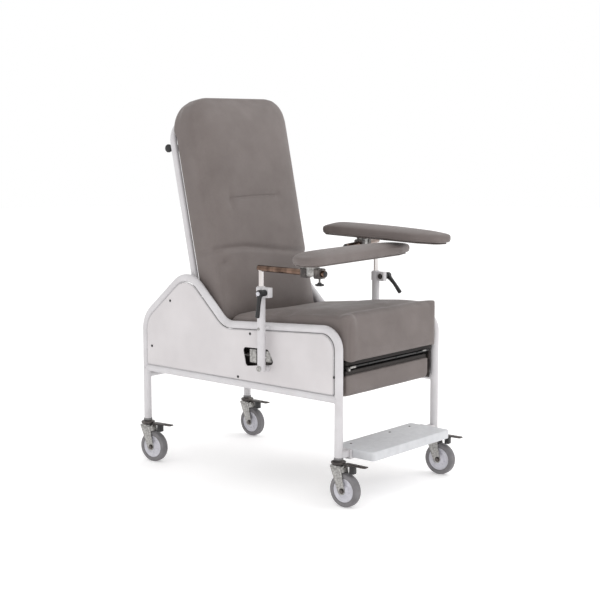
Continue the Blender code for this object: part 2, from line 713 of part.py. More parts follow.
def build_saddle(side, carrier):
    """Plate on two jaws that the bar runs through, with a boss under the pad."""
    low = (-SADDLE_HALF, -0.013, BAR_R + 0.001)
    plate = block("saddle", low, (SADDLE_HALF, 0.013, BAR_R + 0.006))
    saddle = part(f"{side}_saddle", plate, DARK_STEEL, carrier)
    for end in (-1, 1):
        a, b = sorted((end * (SADDLE_HALF - SADDLE_BLOCK), end * (SADDLE_HALF - 0.0002)))
        jaw = block("jaw", (a, -JAW_HALF, -JAW_HALF), (b, JAW_HALF, BAR_R + 0.0035))
        boolean(saddle, helper(f"{side}_jaw_{end}", jaw, saddle), "UNION")
    boss = rod("boss", (0, 0, BAR_R + 0.003), (0, 0, PAD_RISE - GAP), BOSS_R, 20)
    boolean(saddle, helper(f"{side}_boss", boss, saddle), "UNION")
    groove = rod("groove", (-0.1, 0, 0), (0.1, 0, 0), BAR_R + GAP, 20)
    boolean(saddle, helper(f"{side}_groove", groove, saddle), "DIFFERENCE")
    screw_x = SADDLE_HALF - SADDLE_BLOCK / 2
    thread = rod("screw_hole", (screw_x, 0, -0.03), (screw_x, 0, 0), SHANK_R + 0.0004, 12)
    boolean(saddle, helper(f"{side}_screw_hole", thread, saddle), "DIFFERENCE")


def build_thumbscrew(side, carrier):
    """Knob under the far jaw, with a shank that reaches the bar."""
    screw = stand(f"{side}_screw_axis", carrier, (SADDLE_HALF - SADDLE_BLOCK / 2, 0, 0))
    low, high = KNOB_Z
    knob = part(f"{side}_thumbscrew", rod("knob", (0, 0, low), (0, 0, high), KNOB_R, 16), BLACK, screw)
    shank = rod("shank", (0, 0, high - 0.002), (0, 0, -BAR_R - GAP), SHANK_R, 10)
    boolean(knob, helper(f"{side}_shank", shank, knob), "UNION")


def pad_data(behind):
    """Arm pad: a long taper with a broad elbow end behind the swivel and a narrow wrist end."""
    ahead = PAD_LENGTH - behind
    half_plan = [(-behind, -PAD_HALF), (ahead - PAD_TAPER, -PAD_HALF), (ahead, -PAD_TIP_HALF)]
    corners = half_plan + [(along, -across) for along, across in reversed(half_plan)]
    plan = rounded_loop(corners, (0.054, 0.060, 0.030, 0.030, 0.060, 0.054), 5)
    return outline("arm_pad", [plan], PAD_T / 2, 0.009, 1)


clear_scene()
PARTS = new_collection(NAME)
CUTTERS = new_collection("cutters")
SIDES = (("right", -1), ("left", 1))
WHITE = paint("white_powder_coat", (222, 220, 221), 0.35)
VINYL = paint("taupe_vinyl", (125, 115, 112), 0.5)
STEEL = paint("zinc_steel", (190, 190, 188), 0.3, 1.0)
DARK_STEEL = paint("dark_steel", (72, 70, 70), 0.4, 0.8)
CHROME = paint("chrome", (215, 215, 215), 0.08, 1.0)
BLACK = paint("black_plastic", (28, 28, 30), 0.4)
GREY_RUBBER = paint("grey_rubber", (125, 122, 122), 0.7)
PALE_PLASTIC = paint("pale_plastic", (205, 203, 208), 0.45)
TRAY_GREY = paint("tray_grey", (205, 205, 206), 0.4)
BOARD = paint("covered_board", (58, 52, 50), 0.7)
CHAIR = bpy.data.objects.new("chair", None)
PARTS.objects.link(CHAIR)
CHAIR.location = (*CASTER_MIDDLE, 0)

build_frame()
for CORNER, SPEC in CASTERS.items():
    build_caster(CORNER, *SPEC)
build_seat()
build_back()
build_leg_rest()
build_tray()
for SIDE, SPEC in ARMS.items():
    build_arm(SIDE, *SPEC)
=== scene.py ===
"""Looks of a patient recliner chair: upholstery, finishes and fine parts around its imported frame.

Lengths are in metres. Each piece is drawn in a local frame that stands on one of the record's
joints (or in the middle of the casters, at floor level) and then rides on that joint's body.
"""

import json
import math

import bmesh
import bpy
import numpy as np
from mathutils import Matrix, Vector
from mathutils.bvhtree import BVHTree


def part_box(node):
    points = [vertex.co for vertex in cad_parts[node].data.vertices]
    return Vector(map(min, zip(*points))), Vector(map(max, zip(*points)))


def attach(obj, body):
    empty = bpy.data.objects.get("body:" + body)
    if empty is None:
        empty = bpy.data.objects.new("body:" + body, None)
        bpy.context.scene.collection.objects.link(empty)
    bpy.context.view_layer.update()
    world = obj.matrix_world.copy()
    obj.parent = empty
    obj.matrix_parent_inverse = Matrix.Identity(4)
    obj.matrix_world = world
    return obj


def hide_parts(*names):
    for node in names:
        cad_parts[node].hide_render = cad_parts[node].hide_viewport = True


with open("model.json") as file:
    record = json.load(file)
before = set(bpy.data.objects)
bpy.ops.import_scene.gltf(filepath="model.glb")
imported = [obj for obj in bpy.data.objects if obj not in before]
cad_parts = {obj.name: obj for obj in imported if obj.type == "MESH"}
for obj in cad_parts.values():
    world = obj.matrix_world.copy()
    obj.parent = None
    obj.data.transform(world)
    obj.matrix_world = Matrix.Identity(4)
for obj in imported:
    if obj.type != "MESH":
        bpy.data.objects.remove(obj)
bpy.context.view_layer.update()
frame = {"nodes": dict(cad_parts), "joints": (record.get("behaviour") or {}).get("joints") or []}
JOINTS = {joint["name"]: joint for joint in frame["joints"]}
SIDES = (("right", -1), ("left", 1))
CORNERS = ("front_right", "rear_right", "rear_left", "front_left")

# The frame's tubes and plates, in the chair's own coordinates.
TUBE_R = 0.0127
SIDE_X = 0.244
LEG_Y = 0.411
LEG_FOOT = 0.139
RAIL_Z = 0.318
REAR_TUBE_Z = 0.296
SIDE_CORNERS = ((LEG_Y, LEG_FOOT), (LEG_Y, 0.487), (0.211, 0.657),
                (0.044, 0.4975), (-LEG_Y, 0.5247), (-LEG_Y, LEG_FOOT))
SIDE_BENDS = (0.09, 0.076, 0.07, 0.057)
PANEL_FACE = 0.2545
SCREWS = ((0.286, 0.552), (0.375, 0.394), (-0.067, 0.480), (-0.015, 0.339), (-0.402, 0.385))
WHEEL_R = 0.0508
TRAIL = 0.026
BACK_LEAN = math.radians(12)
POST_R = 0.0127
RISER_R = 0.0075
BAR_R = 0.0095
PAD_LENGTH = 0.563
PAD_HALF = 0.056
PAD_TIP_HALF = 0.034
PAD_TIP_LIFT = 0.002
PAD_THICK = 0.038
# Side: pad direction, pad behind its swivel, lever swing, saddle reach.
ARMS = {"right": (4.0, 0.069, 5.0, 0.2035), "left": (259.3, 0.179, -43.0, 0.1134)}


# ---------------------------------------------------------------- placing

def at(joint):
    """Where a joint stands."""
    return Vector(JOINTS[joint]["pos_m"])


def turn(axis, degrees):
    """A rotation about one axis."""
    return Matrix.Rotation(math.radians(degrees), 4, axis)


def chair_frame():
    """Middle of the four casters, at floor level."""
    middle = sum((at(f"{corner}_caster_swivel") for corner in CORNERS), Vector()) / 4
    return Matrix.Translation((middle.x, middle.y, 0))


CHAIR = chair_frame()
BACK = Matrix.Translation(at("back_recline")) @ Matrix.Rotation(-BACK_LEAN, 4, "X")
LEG_REST = Matrix.Translation(at("leg_rest_tilt"))


def caster_frame(corner):
    """Swivel axis at floor level, turned so that the axle runs along X."""
    x, y, _ = at(f"{corner}_caster_swivel")
    axle = JOINTS[f"{corner}_wheel_roll"]["axis"]
    return Matrix.Translation((x, y, 0)) @ turn("Z", math.degrees(math.atan2(axle[1], axle[0])))


def arm_frame(side):
    """Top of the riser, with X along the bar."""
    way = JOINTS[f"{side}_saddle_slide"]["axis"]
    return Matrix.Translation(at(f"{side}_arm_swing")) @ turn("Z", math.degrees(math.atan2(way[1], way[0])))


# ---------------------------------------------------------------- materials

def srgb(red, green, blue):
    """Display colour values, 0 to 255, as linear ones."""
    return tuple((c / 255 / 12.92) if c / 255 <= 0.04045
                 else ((c / 255 + 0.055) / 1.055) ** 2.4 for c in (red, green, blue))


class Finish:
    """A Principled material and short calls that add nodes to it."""

    def __init__(self, name, colour, roughness, metallic=0.0, **sockets):
        self.material = bpy.data.materials.new(name)
        self.material.use_nodes = True
        self.tree = self.material.node_tree
        self.shader = self.tree.nodes["Principled BSDF"]
        self.set(**{"Base Color": (*srgb(*colour), 1), "Roughness": roughness, "Metallic": metallic})
        self.set(**{key.replace("_", " "): value for key, value in sockets.items()})
        self.place = self.node("ShaderNodeTexCoord").outputs["Object"]

    def set(self, **sockets):
        for key, value in sockets.items():
            self.shader.inputs[key].default_value = value

    def node(self, kind, inputs=None, **settings):
        made = self.tree.nodes.new(kind)
        for key, value in settings.items():
            setattr(made, key, value)
        for key, value in (inputs or {}).items():
            if isinstance(value, bpy.types.NodeSocket):
                self.tree.links.new(value, made.inputs[key])
            else:
                made.inputs[key].default_value = value
        return made

    def noise(self, scale, detail=4.0, roughness=0.55, stretch=None):
        place = self.place
        if stretch:
            place = self.node("ShaderNodeMapping", {"Vector": place, "Scale": stretch}).outputs["Vector"]
        inputs = {"Vector": place, "Scale": scale, "Detail": detail, "Roughness": roughness}
        return self.node("ShaderNodeTexNoise", inputs).outputs["Fac"]

    def cells(self, scale, feature="F1"):
        inputs = {"Vector": self.place, "Scale": scale}
        return self.node("ShaderNodeTexVoronoi", inputs, feature=feature).outputs["Distance"]

    def ramp(self, value, low, high, to_low=0.0, to_high=1.0):
        inputs = {"Value": value, "From Min": low, "From Max": high, "To Min": to_low, "To Max": to_high}
        return self.node("ShaderNodeMapRange", inputs).outputs["Result"]

    def math(self, operation, a, b):
        made = self.node("ShaderNodeMath", operation=operation)
        for socket, value in zip(made.inputs, (a, b)):
            if isinstance(value, bpy.types.NodeSocket):
                self.tree.links.new(value, socket)
            else:
                socket.default_value = value
        return made.outputs["Value"]

    def mix(self, factor, first, second):
        """A colour between two, which are sRGB triples or sockets."""
        made = self.node("ShaderNodeMix", data_type="RGBA")
        self.tree.links.new(factor, made.inputs["Factor"])
        for socket, value in ((made.inputs[6], first), (made.inputs[7], second)):
            if isinstance(value, bpy.types.NodeSocket):
                self.tree.links.new(value, socket)
            else:
                socket.default_value = (*srgb(*value), 1)
        return made.outputs[2]

    def colour(self, socket):
        self.tree.links.new(socket, self.shader.inputs["Base Color"])

    def rough(self, socket):
        self.tree.links.new(socket, self.shader.inputs["Roughness"])

    def bump(self, height, strength, distance):
        inputs = {"Height": height, "Strength": strength, "Distance": distance}
        made = self.node("ShaderNodeBump", inputs)
        self.tree.links.new(made.outputs["Normal"], self.shader.inputs["Normal"])


def vinyl_finish():
    """Taupe upholstery vinyl: a pebbled grain, faint mottling and a soft satin gloss."""
    made = Finish("taupe_vinyl", (108, 99, 96), 0.5, Sheen_Weight=0.08, Sheen_Roughness=0.5)
    mottle = made.noise(9.0, 5.0)
    speck = made.noise(420.0, 3.0)
    broad = made.mix(made.ramp(mottle, 0.3, 0.7), (103, 94, 91), (115, 106, 103))
    made.colour(made.mix(made.ramp(speck, 0.35, 0.75, 0.0, 0.35), broad, (88, 80, 77)))
    made.rough(made.ramp(made.noise(26.0), 0.3, 0.7, 0.50, 0.64))
    pebble = made.ramp(made.cells(950.0), 0.0, 0.8)
    weave = made.noise(1500.0, 2.0)
    made.bump(made.math("ADD", pebble, made.math("MULTIPLY", weave, 0.6)), 0.35, 0.00035)
    return made.material


def paint_finish():
    """White powder coat: orange peel, slight dulling and rubbed patches."""
    made = Finish("white_powder_coat", (203, 201, 203), 0.34, Coat_Weight=0.15, Coat_Roughness=0.2)
    dust = made.ramp(made.noise(14.0, 6.0), 0.35, 0.75)
    made.colour(made.mix(dust, (206, 204, 206), (194, 191, 193)))
    made.rough(made.ramp(made.noise(60.0), 0.3, 0.7, 0.28, 0.42))
    made.bump(made.noise(700.0, 2.0), 0.12, 0.0002)
    return made.material


def panel_finish():
    """The sheet panels' coat is a shade greyer and flatter than the tubes'."""
    made = Finish("panel_powder_coat", (200, 196, 197), 0.42)
    dust = made.ramp(made.noise(7.0, 6.0), 0.3, 0.75)
    made.colour(made.mix(dust, (208, 204, 205), (197, 193, 194)))
    made.rough(made.ramp(made.noise(40.0), 0.3, 0.7, 0.36, 0.48))
    made.bump(made.noise(600.0, 2.0), 0.10, 0.0002)
    return made.material


def chrome_finish(name, light, dark, scale):
    """Bright plating with faint drawing lines and a few rubbed spots."""
    made = Finish(name, light, 0.12, 1.0)
    streak = made.noise(scale, 3.0, 0.6, (1.0, 1.0, 0.08))
    made.colour(made.mix(made.ramp(streak, 0.35, 0.7), light, dark))
    made.rough(made.ramp(made.noise(120.0), 0.3, 0.75, 0.07, 0.2))
    made.bump(streak, 0.05, 0.0001)
    return made.material


def zinc_finish():
    """Bright zinc on pressed steel: a spangled, slightly cloudy grey."""
    made = Finish("zinc_plated_steel", (176, 175, 172), 0.34, 1.0)
    spangle = made.cells(160.0)
    made.colour(made.mix(made.ramp(spangle, 0.1, 0.8), (186, 185, 182), (142, 140, 138)))
    made.rough(made.ramp(made.noise(90.0), 0.3, 0.7, 0.26, 0.46))
    made.bump(made.noise(500.0), 0.10, 0.0002)
    return made.material


def dark_steel_finish():
    """Oiled dark steel with browned and rubbed places."""
    made = Finish("dark_steel", (82, 78, 77), 0.42, 0.75)
    wear = made.ramp(made.noise(55.0, 6.0), 0.45, 0.75)
    made.colour(made.mix(wear, (72, 68, 67), (124, 118, 114)))
    made.rough(made.ramp(made.noise(130.0), 0.3, 0.7, 0.32, 0.55))
    made.bump(made.noise(450.0), 0.15, 0.0002)
    return made.material


def plastic_finish(name, colour, other, roughness, scale=900.0, depth=0.2):
    """Moulded plastic or rubber with a fine spark-eroded grain."""
    made = Finish(name, colour, roughness)
    made.colour(made.mix(made.ramp(made.noise(35.0, 5.0), 0.35, 0.7), colour, other))
    made.rough(made.ramp(made.noise(70.0), 0.3, 0.7, roughness - 0.06, roughness + 0.08))
    made.bump(made.noise(scale, 2.0), depth, 0.0002)
    return made.material


def board_cloth_and_gap_shade_finish():
    """Dark woven cloth stretched over board: threads cross every millimetre. On the seat and leg rest
    boards its darkness is also painted shade for the gaps under the seat and over the leg rest.
    """
    made = Finish("covered_board", (52, 47, 45), 0.85)
    across = made.node("ShaderNodeTexWave", {"Vector": made.place, "Scale": 300.0, "Distortion": 0.6},
                       bands_direction="X")
    along = made.node("ShaderNodeTexWave", {"Vector": made.place, "Scale": 300.0, "Distortion": 0.6},
                      bands_direction="Y")
    threads = made.math("MULTIPLY", across.outputs["Fac"], along.outputs["Fac"])
    made.colour(made.mix(threads, (34, 31, 30), (66, 60, 57)))
    made.bump(threads, 0.4, 0.0003)
    return made.material


VINYL = vinyl_finish()
PAINT = paint_finish()
PANEL = panel_finish()
CHROME = chrome_finish("chrome", (226, 224, 224), (196, 188, 184), 60.0)
# The arm bar is chrome; its brown colour is painted reflection of the taupe upholstery round it.
CHROME_BAR_PAINTED_REFLECTION = chrome_finish("chrome_bar_painted_reflection", (132, 108, 94), (84, 66, 56), 40.0)
ZINC = zinc_finish()
DARK = dark_steel_finish()
BLACK = plastic_finish("black_plastic", (19, 19, 21), (28, 27, 28), 0.42)
RUBBER = plastic_finish("grey_rubber", (120, 118, 120), (104, 102, 104), 0.62, 600.0, 0.3)
HUB = plastic_finish("pale_plastic", (206, 205, 211), (192, 191, 198), 0.42)
TRAY = plastic_finish("tray_grey", (204, 205, 208), (195, 196, 199), 0.40, 700.0, 0.12)
# Dark board cloth; on the seat and leg rest boards its darkness is painted shade for the gaps they show in.
BOARD_CLOTH_AND_GAP_SHADE = board_cloth_and_gap_shade_finish()
THREAD = plastic_finish("thread", (98, 90, 87), (110, 101, 98), 0.6)
# Grey strip colour that darkens the gap round each side panel as painted shade.
GAP_SHADE_EDGING = plastic_finish("painted_gap_shade_edging", (196, 194, 195), (182, 180, 181), 0.55)
FERRULE = plastic_finish("ferrule_grey", (128, 126, 127), (112, 110, 111), 0.5)


# ---------------------------------------------------------------- meshes

def piece(name, bm, finish, place, body, replaces=(), sharp=35):
    """Turns a bmesh into a piece that rides on a body."""
    bmesh.ops.recalc_face_normals(bm, faces=bm.faces)
    data = bpy.data.meshes.new(name)
    bm.to_mesh(data)
    bm.free()
    data.shade_smooth()
    data.set_sharp_from_angle(angle=math.radians(sharp))
    return settle(name, data, finish, place, body, replaces)


def settle(name, data, finish, place, body, replaces=()):
    """Makes an object of a mesh and rides it on its body."""
    data.materials.clear()
    data.materials.append(finish)
    made = bpy.data.objects.new(name, data)
    bpy.context.scene.collection.objects.link(made)
    made.matrix_world = place
    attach(made, body)
    if replaces:
        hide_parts(*replaces)
    return made


def arc_points(before, corner, after, radius, steps):
    """Points of the arc that rounds a corner, in 2-D or 3-D."""
    before, corner, after = (Vector(p).to_3d() for p in (before, corner, after))
    back = (before - corner).normalized()
    ahead = (after - corner).normalized()
    half = back.angle(ahead) / 2
    centre = corner + (back + ahead).normalized() * (radius / math.sin(half))
    start = (corner + back * (radius / math.tan(half)) - centre).normalized()
    end = (corner + ahead * (radius / math.tan(half)) - centre).normalized()
    return [centre + start.slerp(end, i / steps) * radius for i in range(steps + 1)]


def bent(corners, radii, steps=14):
    """An open path through corners with rounded bends."""
    path = [Vector(corners[0]).to_3d()]
    for before, corner, after, radius in zip(corners, corners[1:], corners[2:], radii):
        path += arc_points(before, corner, after, radius, steps)
    return path + [Vector(corners[-1]).to_3d()]


def bent_loop(corners, radii, steps=6):
    """A closed path through corners with rounded bends."""
    count = len(corners)
    path = []
    for i, radius in enumerate(radii):
        path += arc_points(corners[i - 1], corners[i], corners[(i + 1) % count], radius, steps)
    return path


def rounded_box(half_x, half_y, radius, steps=5, centre=(0, 0)):
    """A rectangle with round corners, as (x, y) points."""
    x, y = centre
    corners = ((x - half_x, y - half_y), (x + half_x, y - half_y),
               (x + half_x, y + half_y), (x - half_x, y + half_y))
    return bent_loop(corners, (radius,) * 4, steps)


def add_rings(bm, rings, closed=False, capped=True):
    """Joins rings of the same number of points; a ring of one point is a pole."""
    made = [[bm.verts.new(p) for p in ring] for ring in rings]
    pairs = list(zip(made, made[1:]))
    if closed:
        pairs.append((made[-1], made[0]))
    for low, high in pairs:
        count = max(len(low), len(high))
        for i in range(count):
            face = [low[i % len(low)], low[(i + 1) % len(low)],
                    high[(i + 1) % len(high)], high[i % len(high)]]
            bm.faces.new(list(dict.fromkeys(face)))
    if capped and not closed:
        for ring in (made[0], made[-1]):
            if len(ring) > 2:
                bm.faces.new(ring)


def add_tube(bm, points, radius, sides=24, soft=0.0, closed=False):
    """A round bar along points, with its ends rounded over by soft; radius may be one number a point."""
    points = [Vector(p) for p in points]
    radii = list(radius) if hasattr(radius, "__iter__") else [radius] * len(points)
    if soft:
        points, radii = soften(points, radii, soft)
    rings = []
    normal = None
    count = len(points)
    for i, (point, size) in enumerate(zip(points, radii)):
        ahead = points[(i + 1) % count] if closed or i + 1 < count else point
        behind = points[i - 1] if closed or i else point
        along = (ahead - behind).normalized()
        normal = along.orthogonal() if normal is None else normal - along * normal.dot(along)
        normal.normalize()
        side = along.cross(normal)
        angles = (math.tau * k / sides for k in range(sides))
        rings.append([point + (normal * math.cos(a) + side * math.sin(a)) * size for a in angles])
    add_rings(bm, rings, closed)


def soften(points, radii, soft, steps=4):
    """Extra points at both ends so that a bar's ends are rounded."""
    head = (points[1] - points[0]).normalized()
    tail = (points[-2] - points[-1]).normalized()
    start = [points[0] + head * (soft * (1 - math.cos(math.pi / 2 * i / steps))) for i in range(steps)]
    end = [points[-1] + tail * (soft * (1 - math.cos(math.pi / 2 * i / steps))) for i in range(steps)]
    shrink = [soft * (1 - math.sin(math.pi / 2 * i / steps)) for i in range(steps)]
    middle = [points[0] + head * soft, *points[1:-1], points[-1] + tail * soft]
    places = start + middle + end[::-1]
    sizes = [radii[0] - s for s in shrink] + radii + [radii[-1] - s for s in shrink[::-1]]
    return places, sizes


def add_lathe(bm, profile, sides=32, place=None, closed=False):
    """Turns (radius, height) points about local Z; a radius of 0 is a pole."""
    place = place or Matrix()
    rings = []
    for radius, height in profile:
        if radius < 1e-7:
            rings.append([place @ Vector((0, 0, height))])
            continue
        angles = (math.tau * k / sides for k in range(sides))
        rings.append([place @ Vector((radius * math.cos(a), radius * math.sin(a), height)) for a in angles])
    add_rings(bm, rings, closed)


def add_slab(bm, outline, low, high, place=None, edge=0.0, segments=2):
    """An outline in (x, y) given thickness from low to high, with its edges rounded by edge."""
    made = bmesh.new()
    face = made.faces.new([made.verts.new((p[0], p[1], low)) for p in outline])
    grown = bmesh.ops.extrude_face_region(made, geom=[face])
    top = [item for item in grown["geom"] if isinstance(item, bmesh.types.BMVert)]
    bmesh.ops.translate(made, vec=(0, 0, high - low), verts=top)
    bmesh.ops.recalc_face_normals(made, faces=made.faces)
    if edge:
        rims = [e for e in made.edges if e.is_manifold and e.calc_face_angle(0) > math.radians(40)]
        bmesh.ops.bevel(made, geom=rims, offset=edge, segments=segments, profile=0.5,
                        affect="EDGES", clamp_overlap=True)
    merge(bm, made, place)


def add_box(bm, low, high, place=None, edge=0.0015):
    """A block between two corners with rounded edges."""
    low, high = Vector(low), Vector(high)
    middle = (low + high) / 2
    half = (high - low) / 2
    outline = ((-half.x, -half.y), (half.x, -half.y), (half.x, half.y), (-half.x, half.y))
    local = Matrix.Translation(middle)
    add_slab(bm, outline, -half.z, half.z, (place @ local) if place else local, edge)


def add_ring_slab(bm, outer, inner, low, high, place=None):
    """A plate with one hole: outer and inner outlines have the same number of points."""
    place = place or Matrix()

    def lift(loop, z):
        return [place @ Vector((p[0], p[1], z)) for p in loop]

    add_rings(bm, [lift(outer, low), lift(outer, high), lift(inner, high), lift(inner, low)], closed=True)


def merge(bm, made, place=None):
    """Adds a bmesh to another, placed by a matrix."""
    data = bpy.data.meshes.new("scratch")
    made.to_mesh(data)
    made.free()
    if place:
        data.transform(place)
    bm.from_mesh(data)
    bpy.data.meshes.remove(data)


def along_x(x, y, z):
    """A frame at a point whose local Z runs along X."""
    return Matrix.Translation((x, y, z)) @ turn("Y", 90)


def circle(radius, count, centre=(0, 0), start=0.0):
    """Points spaced evenly round a circle."""
    return [
        (centre[0] + radius * math.cos(start + math.tau * i / count),
         centre[1] + radius * math.sin(start + math.tau * i / count))
        for i in range(count)
    ]


def dome(radius, height, steps=5):
    """Profile of a pan head that stands on its base."""
    head = [(radius, 0), (radius, height * 0.35)]
    for i in range(1, steps + 1):
        a = math.pi / 2 * i / steps
        head.append((radius * math.cos(a) if i < steps else 0, height * (0.35 + 0.65 * math.sin(a))))
    return [(0, 0), *head]


def add_bolt(bm, place, radius=0.0065, height=0.004):
    """A washer and a hexagon head with a chamfered top."""
    add_lathe(bm, [(0, 0), (radius * 1.35, 0), (radius * 1.35, 0.0008), (0, 0.0008)], 24, place)
    outline = circle(radius, 6)
    add_slab(bm, outline, 0.0008, height, place, 0.0006, 1)


# ---------------------------------------------------------------- upholstery

def step(value, low, high):
    """0 below low, 1 above high, smooth between."""
    t = np.clip((value - low) / (high - low), 0, 1)
    return t * t * (3 - 2 * t)


def bell(distance, width):
    """1 at no distance, falling smoothly to 0 over a few widths."""
    return np.exp(-((distance / width) ** 2))


def path_distance(points, path):
    """Distance from each 2-D point to a polyline, and how far along it the nearest place is (0 to 1)."""
    best = np.full(len(points), 1e9)
    where = np.zeros(len(points))
    spans = len(path) - 1
    for i in range(spans):
        a = np.array(path[i])
        run = np.array(path[i + 1]) - a
        t = np.clip(((points - a) @ run) / (run @ run), 0, 1)
        far = np.linalg.norm(points - a - t[:, None] * run, axis=1)
        nearer = far < best
        best[nearer] = far[nearer]
        where[nearer] = ((i + t) / spans)[nearer]
    return best, where


def vertex_array(data, what="co"):
    """The mesh's points, or its vertex normals, as rows."""
    flat = np.empty(len(data.vertices) * 3, np.float32)
    data.vertices.foreach_get(what, flat)
    return flat.reshape(-1, 3).astype(float)


def set_vertices(data, points):
    """Moves a mesh's points to the rows given."""
    data.vertices.foreach_set("co", points.astype(np.float32).ravel())
    data.update()


def fitted(points, low, high):
    """The points stretched a little along each axis to fill a box; None leaves a side where it is."""
    made = points.copy()
    for axis, (start, end) in enumerate(zip(low, high)):
        now_low, now_high = points[:, axis].min(), points[:, axis].max()
        start = now_low if start is None else start
        end = now_high if end is None else end
        made[:, axis] = start + (points[:, axis] - now_low) * (end - start) / (now_high - now_low)
    return made


def squared(points, axes, corner, outward, reach, power):
    """Draws a round edge out towards its corner: the arc within reach becomes a superellipse."""
    first, second = axes
    a = 1 + (points[:, first] - corner[0]) * outward[0] / reach
    b = 1 + (points[:, second] - corner[1]) * outward[1] / reach
    weight = step(np.minimum(a, b), 0.0, 0.6)
    a, b = np.maximum(a, 1e-6), np.maximum(b, 1e-6)
    grow = 1 + weight * (1 / (a**power + b**power) ** (1 / power) - 1)
    made = points.copy()
    for axis, along, place, way in ((first, a, corner[0], outward[0]),
                                    (second, b, corner[1], outward[1])):
        made[:, axis] = np.where(weight > 0, place + (along * grow - 1) * reach * way, points[:, axis])
    return made


class Cushion:
    """A padded form that starts as a CAD solid drawn in a little."""

    def __init__(self, node, place, inset, voxel, limit, pressure=4.0):
        self.node = node
        self.place = place
        self.limit = limit
        data = frame["nodes"][node].data.copy()
        data.transform(place.inverted())
        points = vertex_array(data)
        low, high = points.min(0), points.max(0)
        self.middle, self.half = (low + high) / 2, (high - low) / 2
        scale = (self.half - np.array(inset)) / self.half
        set_vertices(data, self.middle + (points - self.middle) * scale)
        self.obj = bpy.data.objects.new(f"{node}_form", data)
        bpy.context.scene.collection.objects.link(self.obj)
        remesh = self.obj.modifiers.new("Remesh", "REMESH")
        remesh.mode = "VOXEL"
        remesh.voxel_size = voxel
        self.bake()
        self.obj.data = smoothed(self.obj.data, 4)
        self.start = vertex_array(self.obj.data)
        self.normals = vertex_array(self.obj.data, "normal")
        self.pressure = pressure

    def relaxed(self, values, rounds):
        """Values at the vertices, spread out along the edges so that only the broad swelling is left."""
        data = self.obj.data
        edges = np.empty(len(data.edges) * 2, np.int32)
        data.edges.foreach_get("vertices", edges)
        a, b = edges.reshape(-1, 2).T
        count = len(data.vertices)
        around = np.bincount(a, minlength=count) + np.bincount(b, minlength=count)
        for _ in range(rounds):
            total = np.bincount(a, values[b], count) + np.bincount(b, values[a], count)
            values = 0.4 * values + 0.6 * total / np.maximum(around, 1)
        return values

    def bake(self):
        """Applies the object's modifiers."""
        seen = self.obj.evaluated_get(bpy.context.evaluated_depsgraph_get())
        data = bpy.data.meshes.new_from_object(seen)
        self.obj.modifiers.clear()
        self.obj.data = data

    def add_cloth(self):
        cloth = self.obj.modifiers.new("Cloth", "CLOTH")
        settings = cloth.settings
        settings.use_pressure = True
        settings.uniform_pressure_force = self.pressure
        settings.effector_weights.gravity = 0
        settings.tension_stiffness = 15
        settings.compression_stiffness = 15
        settings.bending_stiffness = 1.0
        settings.quality = 5
        cloth.point_cache.frame_start = 1
        cloth.point_cache.frame_end = 20

    def finish(self, hold, shape, finish, body):
        """Limits and relaxes the swelling, subdivides, then presses in the seams."""
        self.bake()
        moved = vertex_array(self.obj.data) - self.start
        swell = self.limit * np.tanh((moved * self.normals).sum(1) / self.limit)
        swell = np.maximum(self.relaxed(swell, 60), -0.003) * hold(self.start)
        set_vertices(self.obj.data, self.start + self.normals * swell[:, None])
        fine = self.obj.modifiers.new("Fine", "SUBSURF")
        fine.levels = fine.render_levels = 1
        self.bake()
        data = self.obj.data
        set_vertices(data, shape(vertex_array(data), vertex_array(data, "normal")))
        data.shade_smooth()
        bpy.data.objects.remove(self.obj, do_unlink=True)
        made = settle(f"{self.node}_cover", data, finish, self.place, body, (self.node,))
        return made


def smoothed(data, rounds):
    """The mesh with its voxel steps relaxed."""
    bm = bmesh.new()
    bm.from_mesh(data)
    for _ in range(rounds):
        bmesh.ops.smooth_vert(bm, verts=bm.verts, factor=0.5,
                               use_axis_x=True, use_axis_y=True, use_axis_z=True)
    bm.to_mesh(data)
    bm.free()
    return data


def simulate(cushions):
    """Swells every cushion at once."""
    for cushion in cushions:
        cushion.add_cloth()
    scene = bpy.context.scene
    for number in range(1, 21):
        scene.frame_set(number)


def seat_hold(points):
    """The seat swells little where it lies on its board."""
    return 0.15 + 0.60 * step(points[:, 2], 0.44, 0.50)


def seat_shape(points, normals):
    """A full seat with round edges, a level top and a soft crease behind its front."""
    points = fitted(points, (-0.2285, -0.4370, 0.4268), (0.2285, None, 0.5740))
    points = squared(points, (1, 2), (-0.4370, 0.5740), (-1, 1), 0.055, 2.5)
    points = squared(points, (1, 2), (-0.4370, 0.4268), (-1, -1), 0.030, 5.0)
    for sign in (-1, 1):
        points = squared(points, (0, 1), (sign * 0.2285, -0.4370), (sign, -1), 0.045, 2.6)
    x, y, z = points.T
    near = step(-x, 0.02, 0.23)
    up = step(normals[:, 2], 0.1, 0.7)
    flank = step(np.abs(normals[:, 0]), 0.3, 0.8)
    crease = bell(y + 0.175, 0.024) * (0.001 + 0.004 * near**2)
    crease = crease * np.maximum(up, flank * step(z, 0.50, 0.54))
    corner = bell(np.hypot(np.abs(x) - 0.222, y + 0.431), 0.005) * 0.002
    points = points - normals * (crease + corner)[:, None]
    top = step(points[:, 2], 0.47, 0.56)
    fall = 0.018 * step(y, -0.40, 0.02) + 0.006 * (1 - near) * step(y, -0.42, -0.20)
    points[:, 2] = np.maximum(points[:, 2] - fall * top, 0.4268)
    return points


BACK_SEAM = ((-0.138, 0.436), (-0.06, 0.4385), (-0.01, 0.4395), (0.04, 0.4390), (0.082, 0.437))
LUMBAR = ((-0.230, 0.277), (-0.184, 0.279), (-0.110, 0.279), (-0.023, 0.267),
          (0.08, 0.254), (0.173, 0.242), (0.23, 0.235))
BACK_PULLS = (  # x, z, depth, half width, half height
    (-0.138, 0.428, 0.0050, 0.012, 0.032),
    (0.082, 0.436, 0.0030, 0.014, 0.014),
    (-0.196, 0.229, 0.0070, 0.012, 0.015),
)


def back_hold(points):
    """The back swells little against its board."""
    return 0.1 + 0.9 * step(-points[:, 1], -0.030, 0.0)


